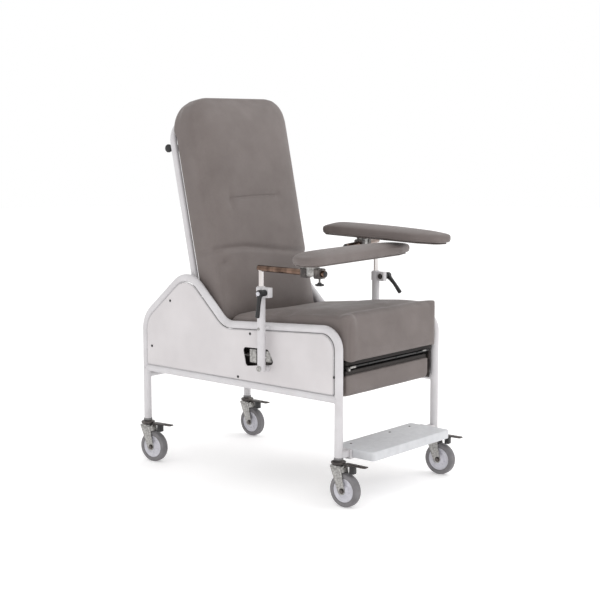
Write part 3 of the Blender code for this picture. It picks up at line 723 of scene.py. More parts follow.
def back_shape(points, normals):
    """The stitched seam with its pulled ends, the lumbar fold and the front's crown."""
    half, top, round_off = 0.2260, 0.7730, 0.095
    points = fitted(points, (-half, None, 0.028), (half, None, top))
    rear = points[:, 1].max()
    over = np.clip(points[:, 2] - (top - round_off), 0, round_off)
    edge = half - round_off + np.sqrt(round_off**2 - over**2)
    for sign in (-1, 1):
        points = squared(points, (0, 1), (sign * edge, rear), (sign, 1), 0.045, 5.0)
    over = np.clip(np.abs(points[:, 0]) - (half - round_off), 0, round_off)
    edge = top - round_off + np.sqrt(round_off**2 - over**2)
    points = squared(points, (2, 1), (edge, rear), (1, 1), 0.045, 4.0)
    x, y, z = points.T
    front = step(-normals[:, 1], 0.15, 0.6)
    flank = step(np.abs(normals[:, 0]), 0.4, 0.9) * step(-y, -0.02, 0.03)
    face = points[:, [0, 2]]
    far, where = path_distance(face, BACK_SEAM)
    taper = step(where, 0.0, 0.12) * step(1 - where, 0.0, 0.12) * 0.6 + 0.4
    seam = (bell(far, 0.0040) * 0.0020 + bell(far, 0.018) * 0.0014) * taper * front
    pulls = 0
    for cx, cz, depth, width, tall in BACK_PULLS:
        pulls = pulls + depth * np.exp(-(((x - cx) / width) ** 2) - ((z - cz) / tall) ** 2)
    line = np.interp(x, [p[0] for p in LUMBAR], [p[1] for p in LUMBAR])
    above = z - line
    lumbar = bell(above, 0.010) * 0.0070 * np.maximum(front, 0.8 * flank)
    belly = bell(z - 0.15, 0.080) * 0.006 * front * (1 - (x / 0.24) ** 2)
    upper = bell(z - 0.58, 0.14) * 0.004 * front * (1 - (x / 0.23) ** 2)
    points = points + normals * (belly + upper - seam - pulls * front - lumbar)[:, None]
    points[:, 1] = np.minimum(points[:, 1], 0.0402)
    return points


def leg_rest_hold(points):
    """The leg rest's pad stays flat on its board and nearly plain at its front."""
    return 0.35 * (0.2 + 0.8 * step(-points[:, 2], -0.015, 0.01))


def leg_rest_shape(points, normals):
    """A plain slab with a welted front edge, kept within its rails and under its board."""
    points = fitted(points, (-0.2100, -0.3060, -0.0458), (0.2100, None, 0.0238))
    points = squared(points, (1, 2), (-0.3060, 0.0238), (-1, 1), 0.014, 4.0)
    y, z = points[:, 1], points[:, 2]
    front = step(-normals[:, 1], 0.3, 0.8)
    hem = bell(np.hypot(y + 0.302, z - 0.017), 0.004) * 0.0015
    bulge = front * bell(z + 0.011, 0.03) * 0.0015
    points = points + normals * (bulge - hem)[:, None]
    points[:, 0] = np.clip(points[:, 0], -0.2112, 0.2112)
    points[:, 2] = np.minimum(points[:, 2], 0.0238)
    return points


def pad_hold(points):
    """Arm pads swell on top and stay flat below."""
    return 0.05 + 0.95 * step(points[:, 2], 0.006, 0.016)


def pad_shape(behind, ahead):
    """The pad is crowned, falls away at its elbow end and thins towards its tip."""
    def shape(points, normals):
        x, y, z = points.T
        wide = PAD_HALF + (PAD_TIP_HALF - PAD_HALF) * step(x, ahead - 0.12, ahead)
        edge = np.clip(np.abs(y) / wide, 0, 1)
        tip = step(x, ahead - 0.30, ahead)
        thin = 1 - 0.10 * tip - 0.20 * step(-x, behind - 0.075, behind)
        crown = 0.86 + 0.14 * np.sqrt(np.clip(1 - edge**2.4, 0, 1))
        seam = bell(z - 0.0105, 0.0016) * 0.0012
        points = points - normals * seam[:, None]
        high = step(points[:, 2], 0.008, 0.026)
        points[:, 2] = np.maximum(points[:, 2] * (1 + (thin * crown - 1) * high), 0.0006)
        points[:, 2] += PAD_TIP_LIFT * tip * (1 - points[:, 2] / PAD_THICK)
        return points
    return shape


def add_stitches(bm, cover, path, offset, away, pitch=0.0062, size=0.00045):
    """Short threads along a path, dropped onto a cover along a direction."""
    tree = BVHTree.FromPolygons([v.co for v in cover.data.vertices],
                                   [p.vertices for p in cover.data.polygons])
    path = [Vector(p) for p in path]
    lengths = [(b - a).length for a, b in zip(path, path[1:])]
    total = sum(lengths)
    count = int(total / pitch)
    away = Vector(away).normalized()
    for i in range(count):
        ends = []
        for s in (i * pitch, i * pitch + pitch * 0.62):
            point = walk(path, lengths, s) + offset
            hit = tree.ray_cast(point + away * 0.2, -away)
            if hit[0] is not None:
                ends.append(hit[0] + hit[1] * size * 0.4)
        if len(ends) == 2:
            add_tube(bm, [ends[0], (ends[0] + ends[1]) / 2 + away * size * 0.5, ends[1]], size, 6)


def walk(path, lengths, far):
    """The point a distance along a polyline."""
    for a, b, length in zip(path, path[1:], lengths):
        if far <= length:
            return a.lerp(b, far / length)
        far -= length
    return path[-1].copy()


def build_upholstery():
    """Five covers swelled together, then the threads of their seams."""
    seat = Cushion("seat_cushion", CHAIR, (0.003, 0.004, 0.004), 0.0055, 0.016)
    back = Cushion("back_cushion", BACK, (0.004, 0.006, 0.004), 0.0055, 0.022)
    leg = Cushion("leg_rest_cushion", LEG_REST, (0.002, 0.002, 0.002), 0.0050, 0.008)
    pads = []
    for side, _ in SIDES:
        place = Matrix.Translation(at(f"{side}_pad_swivel")) @ turn("Z", ARMS[side][0])
        pads.append(Cushion(f"{side}_arm_pad", place, (0.003, 0.003, 0.003), 0.0040, 0.008))
    simulate([seat, back, leg, *pads])
    seat = seat.finish(seat_hold, seat_shape, VINYL, "frame")
    back = back.finish(back_hold, back_shape, VINYL, "backrest")
    leg.finish(leg_rest_hold, leg_rest_shape, VINYL, "leg_rest")
    for (side, _), pad in zip(SIDES, pads):
        behind = ARMS[side][1]
        pad.finish(pad_hold, pad_shape(behind, PAD_LENGTH - behind), VINYL, f"{side}_pad")
    stitch_back(back)
    stitch_seat(seat)


def stitch_back(cover):
    """Two rows of thread beside the back's seam."""
    bm = bmesh.new()
    path = [(x, 0, z) for x, z in BACK_SEAM]
    for shift in (-0.0042, 0.0042):
        add_stitches(bm, cover, path, Vector((0, 0, shift)), (0, -1, 0))
    piece("back_seam_threads", bm, THREAD, BACK, "backrest")


def stitch_seat(cover):
    """Two rows of thread down each end of the seat's front."""
    bm = bmesh.new()
    for sign in (-1, 1):
        path = [(sign * 0.219, -0.5, 0.440), (sign * 0.219, -0.5, 0.552)]
        for shift in (-0.004, 0.004):
            add_stitches(bm, cover, path, Vector((shift, 0, 0)), (0, -1, 0))
    piece("seat_seam_threads", bm, THREAD, CHAIR, "frame")


# ---------------------------------------------------------------- frame

def add_bead(bm, middle, radius, around, thick=0.0018):
    """A weld bead where a tube that runs along an axis meets an upright leg of the same size."""
    points = []
    for i in range(32):
        a = math.tau * i / 32
        across, up = radius * math.cos(a), radius * math.sin(a)
        reach = math.sqrt(max(radius**2 - across**2, 0)) * 0.98
        if around == "y+":
            points.append(Vector(middle) + Vector((across, -reach, up)))
        elif around == "y-":
            points.append(Vector(middle) + Vector((across, reach, up)))
        else:
            points.append(Vector(middle) + Vector((reach if around == "x-" else -reach, across, up)))
    add_tube(bm, points, thick, 8, closed=True)


def build_side(side, sign):
    """One side of the frame, with its tube, rail and panel."""
    x = sign * SIDE_X
    bm = bmesh.new()
    add_tube(bm, [Vector((x, p.x, p.y)) for p in bent(SIDE_CORNERS, SIDE_BENDS)], TUBE_R, 32, 0.001)
    for end in (-1, 1):
        add_bead(bm, (x, end * LEG_Y, RAIL_Z), TUBE_R, "y+" if end > 0 else "y-")
    piece(f"{side}_side_tube", bm, PAINT, CHAIR, "frame", (f"{side}_side_frame",))
    bm = bmesh.new()
    add_tube(bm, [(x, -LEG_Y + 0.004, RAIL_Z), (x, LEG_Y - 0.004, RAIL_Z)], TUBE_R - 0.0001, 32)
    piece(f"{side}_rail_tube", bm, PAINT, CHAIR, "frame", (f"{side}_lower_rail",))
    for end in (-1, 1):
        bm = bmesh.new()
        collar = [(0, 0.0), (0.0135, 0.0), (0.0142, 0.0006),
                  (0.0142, 0.0045), (0.0131, 0.0060), (0.0128, 0.0061)]
        add_lathe(bm, [*collar, (0, 0.0061)], 32, Matrix.Translation((x, end * LEG_Y, LEG_FOOT - 0.0002)))
        name = f"{side}_{'rear' if end > 0 else 'front'}_leg_ferrule"
        piece(name, bm, FERRULE, CHAIR, "frame")
    build_panel_trim(side, sign)


def build_panel_trim(side, sign):
    """Pan-head screws on the side panel, and a grey edging strip in the gap round it that is painted shade
    for the gap's shadow line.
    """
    bm = bmesh.new()
    for y, z in SCREWS:
        place = along_x(sign * PANEL_FACE, y, z)
        if sign < 0:
            place = along_x(-PANEL_FACE, y, z) @ turn("X", 180)
        add_lathe(bm, [(0, 0), (0.0042, 0), (0.0042, 0.0007),
                        (0.0034, 0.0017), (0.0018, 0.0021), (0.0016, 0.0012), (0, 0.0010)],
                        20, place)
    piece(f"{side}_panel_screws", bm, BLACK, CHAIR, "frame")
    corners = [(LEG_Y, RAIL_Z), *SIDE_CORNERS[1:5], (-LEG_Y, RAIL_Z)]
    edge = inset(corners, TUBE_R + 0.0008)
    bends = (0.006, SIDE_BENDS[0] - TUBE_R, SIDE_BENDS[1] - TUBE_R,
             SIDE_BENDS[2] + TUBE_R, SIDE_BENDS[3] - TUBE_R, 0.006)
    # A thin grey strip in the gap between panel and tube stands in as painted shade for the gap's shadow
    # line.
    path = [Vector((sign * 0.2522, p.x, p.y)) for p in bent_loop(edge, bends, 10)]
    bm = bmesh.new()
    add_tube(bm, path, 0.0016, 8, closed=True)
    piece(f"{side}_panel_gap_shade_strip", bm, GAP_SHADE_EDGING, CHAIR, "frame")
    bm = bmesh.new()
    add_box(bm, (sign * 0.2478 - 0.0012, -0.088, 0.390),
                (sign * 0.2478 + 0.0012, -0.060, 0.432), None, 0.001)
    add_box(bm, (sign * 0.2478 - 0.0012, -0.152, 0.398),
                (sign * 0.2478 + 0.0012, -0.128, 0.432), None, 0.001)
    piece(f"{side}_window_brackets", bm, ZINC, CHAIR, "frame")


def inset(corners, distance):
    """A closed counter-clockwise outline moved inwards, as sharp corners."""
    count = len(corners)
    lines = []
    for i in range(count):
        a, b = Vector(corners[i]), Vector(corners[(i + 1) % count])
        along = (b - a).normalized()
        lines.append((a + Vector((-along.y, along.x)) * distance, along))
    made = []
    for (p, u), (q, v) in zip([lines[-1], *lines], lines):
        reach = ((q - p).x * v.y - (q - p).y * v.x) / (u.x * v.y - u.y * v.x)
        made.append(p + u * reach)
    return made


def build_frame():
    """Both sides and the tube that joins the rear legs."""
    for side, sign in SIDES:
        build_side(side, sign)
    bm = bmesh.new()
    add_tube(bm, [(-SIDE_X + 0.004, LEG_Y, REAR_TUBE_Z), (SIDE_X - 0.004, LEG_Y, REAR_TUBE_Z)],
                TUBE_R - 0.0001, 32)
    for sign, way in ((-1, "x-"), (1, "x+")):
        add_bead(bm, (sign * SIDE_X, LEG_Y, REAR_TUBE_Z), TUBE_R, way)
    piece("rear_cross_bar", bm, PAINT, CHAIR, "frame", ("rear_cross_tube",))


# ---------------------------------------------------------------- casters

def build_caster(corner):
    """One caster, from its bearing cap down to its wheel and pedal."""
    place = caster_frame(corner)
    bm = bmesh.new()
    profile = [(0, 0.1392), (0.0125, 0.1392), (0.0138, 0.1380),
               (0.0150, 0.1358), (0.0215, 0.1340), (0.0226, 0.1326),
               (0.0226, 0.1288), (0.0215, 0.1272), (0.0185, 0.1262), (0.0185, 0.1250), (0, 0.1250)]
    add_lathe(bm, profile, 40, place)
    piece(f"{corner}_bearing_cap", bm, DARK, Matrix(), "frame", (f"{corner}_caster_stem",))
    build_fork(corner, place)
    wheel = place @ along_x(0, -TRAIL, WHEEL_R)
    build_wheel(corner, wheel)
    build_pedal(corner)


def build_fork(corner, place):
    """Pressed fork: a domed crown, two flared cheeks with rolled edges, and the axle bolt."""
    bm = bmesh.new()
    crown = [(0.0, 0.1245), (0.0165, 0.1245), (0.0182, 0.1236), (0.0188, 0.1215),
             (0.0188, 0.1175), (0.0, 0.1175)]
    add_lathe(bm, crown, 36)
    leg = ((0.0195, 0.1215), (-0.0205, 0.1215), (-TRAIL - 0.0125, WHEEL_R - 0.0125),
           (-TRAIL + 0.0125, WHEEL_R - 0.0125))
    outline = [(p.x, p.y) for p in bent_loop(leg, (0.004, 0.004, 0.0115, 0.0115), 6)]
    for sign in (-1, 1):
        cheek = Matrix.Translation((sign * 0.0165, 0, 0)) @ turn("Z", 90) @ turn("X", 90)
        add_slab(bm, outline, -0.0015, 0.0015, cheek, 0.0008)
        rib = bent_loop(((0.010, 0.116), (-0.012, 0.116),
                         (-TRAIL - 0.004, WHEEL_R + 0.012), (-TRAIL + 0.004, WHEEL_R + 0.012)),
                         (0.003,) * 4, 4)
        add_slab(bm, [(p.x, p.y) for p in rib],
                 sign * 0.0015 - 0.0008, sign * 0.0015 + 0.0008, cheek, 0.0006)
        add_box(bm, (sign * 0.0165 - 0.0015, -0.0205, 0.1165),
                (sign * 0.0165 + 0.0015, 0.0195, 0.1235),
                None, 0.0012)
    add_slab(bm, rounded_box(0.0175, 0.0195, 0.004), 0.1178, 0.1232, None, 0.001)
    piece(f"{corner}_fork_pressing", bm, ZINC, place, f"{corner}_caster", (f"{corner}_caster_fork",))
    bm = bmesh.new()
    for sign in (-1, 1):
        head = along_x(sign * 0.0186, -TRAIL, WHEEL_R)
        add_bolt(bm, head if sign > 0 else head @ turn("X", 180), 0.0062, 0.0046)
    add_tube(bm, [(-0.0185, -TRAIL, WHEEL_R), (0.0185, -TRAIL, WHEEL_R)], 0.0046, 16)
    piece(f"{corner}_axle_bolt", bm, DARK, place, f"{corner}_caster")


def build_wheel(corner, place):
    """Tyre with a rounded tread and a moulded hub with concentric rings and a bearing boss."""
    half = 0.0128
    shoulder = [(0.0374, -half), (0.0452, -half), (0.0470, -0.0122)]
    for i in range(1, 7):
        a = math.pi / 2 * i / 6
        shoulder.append((0.0470 + 0.0038 * math.sin(a), -0.0122 + 0.0082 * (1 - math.cos(a))))
    groove = [(0.0366, -0.0118), (0.0361, -0.0108)]
    outer = groove + shoulder
    profile = outer + [(r, -h) for r, h in reversed(outer)]
    bm = bmesh.new()
    add_lathe(bm, profile, 72, place, True)
    body = f"{corner}_wheel"
    piece(f"{corner}_tyre", bm, RUBBER, Matrix(), body, (f"{corner}_caster_tyre",), 50)
    face = [(0.03575, -0.0108), (0.0345, -0.0114), (0.0330, -0.0110),
            (0.0318, -0.0092), (0.0300, -0.0080), (0.0262, -0.0072),
            (0.0252, -0.0084), (0.0240, -0.0084), (0.0230, -0.0070),
            (0.0175, -0.0066), (0.0165, -0.0078), (0.0150, -0.0078),
            (0.0135, -0.0092), (0.0120, -0.0130), (0.0108, -0.0137), (0.0053, -0.0137)]
    bm = bmesh.new()
    add_lathe(bm, face + [(r, -h) for r, h in reversed(face)], 64, place, True)
    for i in range(10):
        for sign in (-1, 1):
            spoke = place @ turn("Z", 36 * i)
            add_box(bm, (0.0175, -0.0009, sign * 0.0075 - 0.0014),
                    (0.0300, 0.0009, sign * 0.0075 + 0.0014),
                    spoke, 0.0005)
    piece(f"{corner}_hub_moulding", bm, HUB, Matrix(), body, (f"{corner}_caster_hub",))


def build_pedal(corner):
    """Brake pedal: a pressed foot plate with ribs, over a moulded shoe."""
    axle = JOINTS[f"{corner}_brake_pedal"]["axis"]
    heading = math.degrees(math.atan2(axle[1], axle[0]))
    place = Matrix.Translation(at(f"{corner}_brake_pedal")) @ turn("Z", heading)
    body = f"{corner}_pedal"
    bm = bmesh.new()
    outline = rounded_box(0.0115, 0.0395, 0.006, 5, (0, -0.0375))
    add_slab(bm, outline, 0.0066, 0.0094, None, 0.0009)
    for k in range(4):
        add_box(bm, (-0.0085, -0.0735 + 0.006 * k, 0.0090),
                (0.0085, -0.0712 + 0.006 * k, 0.0104),
                None, 0.0006)
    add_box(bm, (-0.0068, -0.0038, -0.0038), (0.0068, 0.0022, 0.0080), None, 0.001)
    add_lathe(bm, dome(0.0038, 0.0026), 20, Matrix.Translation((0, -0.046, 0.0092)))
    piece(f"{corner}_pedal_plate", bm, DARK, place, body, (f"{corner}_caster_pedal",))
    bm = bmesh.new()
    add_box(bm, (-0.0088, -0.0338, -0.0188), (0.0088, -0.0182, 0.0070), None, 0.0022)
    add_box(bm, (-0.0100, -0.0400, 0.0030), (0.0100, -0.0080, 0.0067), None, 0.0014)
    piece(f"{corner}_brake_shoe", bm, BLACK, place, body)


# ---------------------------------------------------------------- back and seat hardware

def build_back():
    """The back's tube hoop, its board and its push bar."""
    depth = 0.0513
    hoop = bent(
        ((-0.2165, 0.020), (-0.2165, 0.715), (0.2165, 0.715), (0.2165, 0.020)), (0.075, 0.075), 16,
    )
    bm = bmesh.new()
    add_tube(bm, [Vector((p.x, depth, p.y)) for p in hoop], 0.011, 28, 0.002)
    for sign in (-1, 1):
        x = sign * 0.2165
        lug = rounded_box(0.0160, 0.0160, 0.010, 6)
        hole = [(0.0086 * Vector(p).normalized().x, 0.0086 * Vector(p).normalized().y) for p in lug]
        place = Matrix.Translation((x, 0, 0)) @ turn("Z", 90) @ turn("X", 90)
        add_ring_slab(bm, lug, hole, -0.0038, 0.0038, place)
        add_box(bm, (x - 0.0038, 0.010, -0.006), (x + 0.0038, depth, 0.026), None, 0.0015)
    piece("back_hoop", bm, PAINT, BACK, "backrest", ("back_frame",))
    y, up = 0.0736, 0.632
    bm = bmesh.new()
    add_tube(bm, [(-0.2190, y, up), (0.2190, y, up)], 0.011, 28)
    for sign in (-1, 1):
        add_box(bm, (sign * 0.2165 - 0.006, depth + 0.006, up - 0.006),
                (sign * 0.2165 + 0.006, y - 0.006, up + 0.006),
                None, 0.002)
    piece("push_bar_tube", bm, PAINT, BACK, "backrest", ("push_bar",))
    for side, sign in SIDES:
        bm = bmesh.new()
        cap = [(0, 0), (0.0125, 0), (0.0132, 0.0008), (0.0132, 0.0052),
               (0.0122, 0.0072), (0.0095, 0.0084), (0, 0.0088)]
        place = along_x(sign * 0.2185, y, up)
        add_lathe(bm, cap, 32, place if sign > 0 else place @ turn("X", 180))
        piece(f"{side}_push_bar_cap", bm, BLACK, BACK, "backrest")
    build_back_board()


def build_back_board():
    """Covered board that closes the rear of the back, with its welt and fixing screws."""
    corners = ((-0.192, 0.060), (0.192, 0.060), (0.192, 0.690), (-0.192, 0.690))
    loop = bent_loop(corners, (0.03, 0.03, 0.06, 0.06), 8)
    upright = turn("X", 90)
    bm = bmesh.new()
    add_slab(bm, [(p.x, p.y) for p in loop], -0.0425, -0.0385, upright, 0.0012)
    piece("back_cover_board", bm, BOARD_CLOTH_AND_GAP_SHADE, BACK, "backrest")
    bm = bmesh.new()
    add_tube(bm, [Vector((p.x, 0.0408, p.y)) for p in loop], 0.0022, 10, closed=True)
    piece("back_board_welt", bm, VINYL, BACK, "backrest")
    bm = bmesh.new()
    for x in (-0.172, 0.0, 0.172):
        for z in (0.085, 0.270, 0.455, 0.640):
            place = Matrix.Translation((x, 0.0424, z)) @ turn("X", -90)
            add_lathe(bm, dome(0.0038, 0.0018), 18, place)
    piece("back_board_screws", bm, DARK, BACK, "backrest")


def build_seat_hardware():
    """Brackets and bolts at the front of the seat deck, seen in the gap over the leg rest."""
    bm = bmesh.new()
    add_box(bm, (-0.2120, -0.4235, 0.4060), (-0.1780, -0.4170, 0.4125), None, 0.001)
    add_box(bm, (-0.2120, -0.4235, 0.3995), (-0.2050, -0.4100, 0.4125), None, 0.001)
    add_box(bm, (0.1650, -0.4210, 0.4100), (0.1830, -0.4170, 0.4140), None, 0.0008)
    piece("seat_front_brackets", bm, ZINC, CHAIR, "frame")
    bm = bmesh.new()
    add_box(bm, (-0.2140, -0.4100, 0.4040), (0.2140, -0.4060, 0.4095), None, 0.001)
    for x in (-0.100, 0.040, 0.150):
        add_lathe(bm, dome(0.0036, 0.0022), 20, Matrix.Translation((x, -0.4100, 0.4068)) @ turn("X", 90))
    piece("seat_front_rail", bm, BLACK, CHAIR, "frame")


# ---------------------------------------------------------------- tray

def build_tray():
    """Folded sheet tray: round-edged top, turned-down lips and three screws."""
    low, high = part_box("foot_tray")
    place = Matrix.Translation(((low.x + high.x) / 2, (low.y + high.y) / 2, high.z))
    half_x, half_y, lip = (high.x - low.x) / 2, (high.y - low.y) / 2, high.z - low.z
    wall, roll = 0.002, 0.0035
    levels = [(wall, -wall * 1.2), (wall, -lip + 0.0004), (wall * 0.8, -lip),
              (wall * 0.2, -lip), (0, -lip + 0.0004)]
    for i in range(6):
        a = math.pi / 2 * i / 5
        levels.append((roll * (1 - math.cos(a)), -roll + roll * math.sin(a)))
    rings = []
    for inward, height in levels:
        loop = rounded_box(half_x - inward, half_y - inward, max(0.010 - inward, 0.004), 6)
        rings.append([Vector((p[0], p[1], height)) for p in loop])
    bm = bmesh.new()
    add_rings(bm, rings)
    piece("tray_pan", bm, TRAY, place, "tray", ("foot_tray",))
    bm = bmesh.new()
    for x in (-0.150, 0.045, 0.150):
        head = [(0, 0), (0.0040, 0), (0.0036, 0.0008), (0.0012, 0.0009), (0.0010, 0.0004), (0, 0.0004)]
        add_lathe(bm, head, 20, Matrix.Translation((x, half_y - 0.030, 0)))
    piece("tray_screws", bm, DARK, place, "tray")


# ---------------------------------------------------------------- arms

def build_post(side, sign):
    """The white post of one arm, bored for its riser, with its fixings."""
    x, y, _ = CHAIR.inverted() @ at(f"{side}_arm_swing")
    foot, top, bore = 0.377, 0.636, RISER_R + 0.0004
    bm = bmesh.new()
    wall = [(POST_R - 0.001, top), (POST_R, top - 0.001), (POST_R, foot + 0.001),
            (POST_R - 0.001, foot), (bore, foot), (bore, top)]
    add_lathe(bm, wall, 36, Matrix.Translation((x, y, 0)), True)
    for height, radius in ((foot + 0.004, 0.0093), (0.507, 0.0064)):
        add_tube(bm, [(sign * 0.2549, y, height), (x - sign * 0.011, y, height)], radius, 20)
    piece(f"{side}_post_tube", bm, PAINT, CHAIR, "frame", (f"{side}_arm_post",))
    bm = bmesh.new()
    out = x + sign * (POST_R - 0.0006)
    for height, radius in ((foot + 0.008, 0.0092), (0.507, 0.0045)):
        place = along_x(out, y, height)
        add_lathe(bm, dome(radius, 0.0036), 28, place if sign > 0 else place @ turn("X", 180))
    piece(f"{side}_post_bolts", bm, ZINC, CHAIR, "frame")
    build_clamp(side, sign, x, y)


def build_clamp(side, sign, x, y):
    """Split collar round the post's top, its lever and the screw that the lever turns."""
    low, high = 0.604, 0.634
    bm = bmesh.new()
    ear = rounded_box(0.0095, 0.0135, 0.003, 4, (x, y - POST_R - 0.0125))
    add_slab(bm, [(p[0], p[1]) for p in ear], low, high, None, 0.0012)
    outer = circle(POST_R + 0.0026, 40, (x, y))
    inner = circle(POST_R + 0.0001, 40, (x, y))
    add_ring_slab(bm, outer, inner, low + 0.001, high - 0.001)
    piece(f"{side}_clamp_collar", bm, PAINT, CHAIR, "frame", (f"{side}_arm_clamp",))
    hub = CHAIR.inverted() @ at(f"{side}_clamp_lever")
    bm = bmesh.new()
    place = along_x(x - sign * 0.0094, hub.y, hub.z)
    add_bolt(bm, place @ turn("X", 180) if sign > 0 else place, 0.0068, 0.0052)
    piece(f"{side}_clamp_nut", bm, DARK, CHAIR, "frame")
    swing = ARMS[side][2]
    pivot = Matrix.Translation(at(f"{side}_clamp_lever")) @ turn("X", swing)
    bm = bmesh.new()
    ring = [(0, 0.0003), (0.0090, 0.0003), (0.0098, 0.0012),
            (0.0098, 0.012), (0.0088, 0.0135), (0.0088, 0.0150),
            (0.0110, 0.0165), (0.0110, 0.0290), (0.0098, 0.0310), (0.0052, 0.0314), (0, 0.0314)]
    out = turn("Y", 90 * sign)
    add_lathe(bm, ring, 32, out)
    handle = [(0.0235, 0.0, -0.002), (0.0255, -0.0005, -0.016),
              (0.0268, -0.0008, -0.034), (0.0272, 0, -0.054), (0.0270, 0.001, -0.0745)]
    add_tube(bm, [(sign * px, py, pz) for px, py, pz in handle],
             (0.0088, 0.0070, 0.0060, 0.0064, 0.0068), 20, 0.004)
    piece(f"{side}_lever_handle", bm, BLACK, pivot, f"{side}_lever", (f"{side}_arm_lever",))
    bm = bmesh.new()
    cap = [(0, 0.0308), (0.0062, 0.0308), (0.0066, 0.0316), (0.0060, 0.0345), (0.0040, 0.0362), (0, 0.0368)]
    add_lathe(bm, cap, 24, out)
    piece(f"{side}_lever_screw", bm, HUB, pivot, f"{side}_lever")


def build_arm(side, sign):
    """Bent chrome arm, saddle, thumbscrew and the pad's base board."""
    build_post(side, sign)
    arm = arm_frame(side)
    reach = ARMS[side][3]
    bm = bmesh.new()
    add_tube(bm, [(0, 0, -0.200), (0, 0, -BAR_R * 0.6)], RISER_R, 32)
    bead = [Vector((0.0078 * math.cos(a), 0.0078 * math.sin(a), -0.0088 + 0.003 * math.sin(a) ** 2))
            for a in (math.tau * i / 32 for i in range(32))]
    add_tube(bm, bead, 0.0014, 8, closed=True)
    piece(f"{side}_riser", bm, CHROME, arm, f"{side}_arm", (f"{side}_arm_tube",))
    bm = bmesh.new()
    add_tube(bm, [(-0.0093, 0, 0), (0.2502, 0, 0)], BAR_R - 0.00005, 32, 0.0008)
    piece(f"{side}_bar", bm, CHROME_BAR_PAINTED_REFLECTION, arm, f"{side}_arm")
    bm = bmesh.new()
    plug = [(0, 0), (0.0088, 0), (0.0088, 0.0016), (0.0070, 0.0028), (0, 0.0032)]
    add_lathe(bm, plug, 28, along_x(0.2500, 0, 0))
    add_lathe(bm, plug, 28, along_x(-0.0091, 0, 0) @ turn("X", 180))
    piece(f"{side}_bar_plugs", bm, BLACK, arm, f"{side}_arm")
    build_saddle(side, arm @ Matrix.Translation((reach, 0, 0)))
    build_screw(side)
    pad_way, behind, _, _ = ARMS[side]
    ahead = PAD_LENGTH - behind
    rear, neck, tip = -behind + 0.014, ahead - 0.09, ahead - 0.018
    corners = ((rear, -0.042), (neck, -0.042), (tip, -0.024), (tip, 0.024), (neck, 0.042), (rear, 0.042))
    board = bent_loop(corners, (0.038, 0.05, 0.020, 0.020, 0.05, 0.038), 6)
    place = Matrix.Translation(at(f"{side}_pad_swivel")) @ turn("Z", pad_way)
    bm = bmesh.new()
    add_slab(bm, [(p.x, p.y) for p in board], 0.0001, 0.0030, place, 0.0008)
    piece(f"{side}_pad_board", bm, VINYL, Matrix(), f"{side}_pad")


def build_saddle(side, place):
    """Two dark jaws on the bar under a zinc channel, and the swivel boss."""
    body = f"{side}_pad_carrier"
    hole = circle(BAR_R + 0.0002, 32, start=math.pi / 32)
    outer = square_like(hole, 0.0145, 0.0145)
    bm = bmesh.new()
    for end in (-1, 1):
        a, b = sorted((end * 0.0148, end * 0.0362))
        add_ring_slab(bm, outer, hole, a, b, turn("Z", 90) @ turn("X", 90))
    piece(f"{side}_saddle_bracket", bm, DARK, place, body, (f"{side}_saddle",))
    bm = bmesh.new()
    add_slab(bm, rounded_box(0.0362, 0.0128, 0.003), BAR_R + 0.0012, BAR_R + 0.0056, None, 0.001)
    for across in (-0.0132, 0.0112):
        add_box(bm, (-0.0146, across, -0.0090), (0.0146, across + 0.0020, BAR_R + 0.0030), None, 0.0007)
    boss = [(0, 0.0150), (0.0200, 0.0150), (0.0200, 0.0182),
            (0.0190, 0.0194), (0.0172, 0.0196), (0.0172, 0.0216), (0, 0.0216)]
    add_lathe(bm, boss, 36)
    piece(f"{side}_saddle_channel", bm, ZINC, place, body)


def square_like(circle_points, half_x, half_y):
    """A square outline with one point for each point of a circle."""
    made = []
    for x, y in circle_points:
        stretch = min(half_x / abs(x) if x else 1e9, half_y / abs(y) if y else 1e9)
        made.append((x * stretch, y * stretch))
    return made


def build_screw(side):
    """Lobed knob on a threaded shank."""
    place = Matrix.Translation(at(f"{side}_thumbscrew_turn") + Vector((0, 0, 0.033)))
    lobes = [((0.0118 + 0.0013 * math.cos(6 * a)) * math.cos(a),
              (0.0118 + 0.0013 * math.cos(6 * a)) * math.sin(a))
             for a in (math.tau * i / 72 for i in range(72))]
    bm = bmesh.new()
    add_slab(bm, lobes, -0.0360, -0.0300, None, 0.0014)
    add_lathe(bm, [(0, -0.0305), (0.0065, -0.0305), (0.0060, -0.0262), (0, -0.0262)], 24)
    piece(f"{side}_knob", bm, BLACK, place, f"{side}_screw", (f"{side}_thumbscrew",))
    bm = bmesh.new()
    thread = []
    height = -0.0265
    while height < -0.0100:
        thread += [(0.0031, height), (0.0025, height + 0.0006)]
        height += 0.0012
    add_lathe(bm, [(0, -0.0266), *thread, (0, thread[-1][1])], 20)
    piece(f"{side}_screw_thread", bm, ZINC, place, f"{side}_screw")


# ---------------------------------------------------------------- carried-over solids

def dress_cad():
    """Gives each CAD solid that stays its finish."""
    finishes = {
        "side_panel": PANEL, "web_plate": PAINT,
        "tray_guide": PAINT, "leg_rest_rail": DARK, "arm_bushing": BLACK,
        # The seat and leg rest boards take the dark board cloth as painted shade for the gaps they show in.
        "seat_pan": DARK, "seat_board": BOARD_CLOTH_AND_GAP_SHADE, "back_hinge_rod": ZINC,
        "leg_rest_carriage": DARK, "leg_rest_board": BOARD_CLOTH_AND_GAP_SHADE,
    }
    for name, obj in frame["nodes"].items():
        for ending, finish in finishes.items():
            if name.endswith(ending):
                obj.data.materials.clear()
                obj.data.materials.append(finish)


# ---------------------------------------------------------------- stage

# The studio; the camera looks down and round by these angles in degrees.
FLOOR_RADIUS = 14.0
FLOOR_GLOW = 0.26
KEY_WATTS = 26
FILL_WATTS = 16
LENS_MM = 78.74
EYE = (-3.185, -2.787, 1.118)
LOOK_DOWN = 7.6
LOOK_ROUND = 49.34


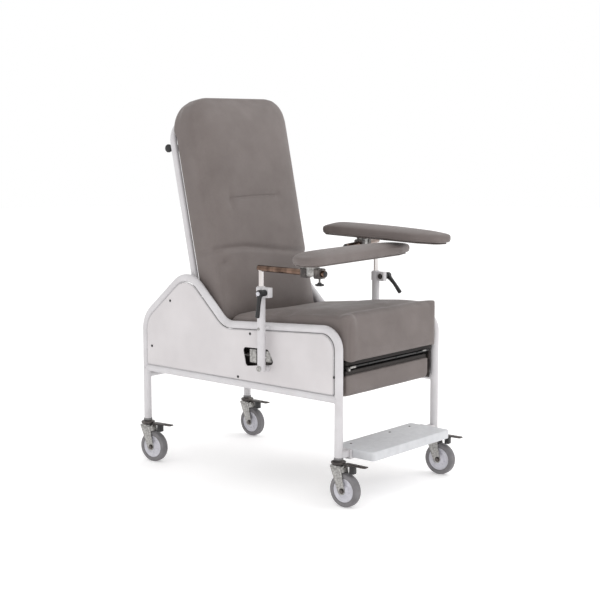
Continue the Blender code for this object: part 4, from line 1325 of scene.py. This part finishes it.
def area_light(name, place, target, size, power):
    """A square lamp aimed at a point."""
    lamp = bpy.data.lights.new(name, "AREA")
    lamp.shape = "SQUARE"
    lamp.size = size
    lamp.energy = power
    made = bpy.data.objects.new(name, lamp)
    bpy.context.scene.collection.objects.link(made)
    made.location = place
    made.rotation_euler = (Vector(target) - Vector(place)).to_track_quat("-Z", "Y").to_euler()


def build_stage():
    """The pale floor, an even white world and two soft lamps."""
    bm = bmesh.new()
    outline = circle(FLOOR_RADIUS, 64)
    add_slab(bm, outline, -0.02, 0.0)
    data = bpy.data.meshes.new("floor")
    bm.to_mesh(data)
    bm.free()
    floor = bpy.data.objects.new("floor", data)
    bpy.context.scene.collection.objects.link(floor)
    paper = Finish("floor_paper", (246, 245, 245), 0.9,
                   Emission_Color=(1, 1, 1, 1), Emission_Strength=FLOOR_GLOW)
    paper.colour(paper.mix(paper.noise(3.0), (247, 246, 246), (244, 243, 243)))
    data.materials.append(paper.material)
    world = bpy.data.worlds.new("studio")
    bpy.context.scene.world = world
    world.use_nodes = True
    world.node_tree.nodes["Background"].inputs["Color"].default_value = (1, 1, 1, 1)
    world.node_tree.nodes["Background"].inputs["Strength"].default_value = 1.0
    area_light("key", (1.92, -1.78, 3.0), (0, 0, 0.5), 2.5, KEY_WATTS)
    area_light("fill", (-3.1, -3.0, 2.0), (0, 0, 0.6), 1.2, FILL_WATTS)
    bpy.context.scene.view_settings.view_transform = "Standard"


def build_camera():
    """A long lens in front of the chair's right side, a little above it."""
    lens = bpy.data.cameras.new("camera")
    lens.sensor_width = 36
    lens.lens = LENS_MM
    made = bpy.data.objects.new("camera", lens)
    bpy.context.scene.collection.objects.link(made)
    made.location = CHAIR @ Vector(EYE)
    made.rotation_euler = (math.radians(90 - LOOK_DOWN), 0, -math.radians(LOOK_ROUND))
    bpy.context.scene.camera = made


build_camera()
build_stage()
dress_cad()
build_frame()
for CORNER in CORNERS:
    build_caster(CORNER)
build_back()
build_seat_hardware()
build_tray()
for SIDE, SIGN in SIDES:
    build_arm(SIDE, SIGN)
build_upholstery()
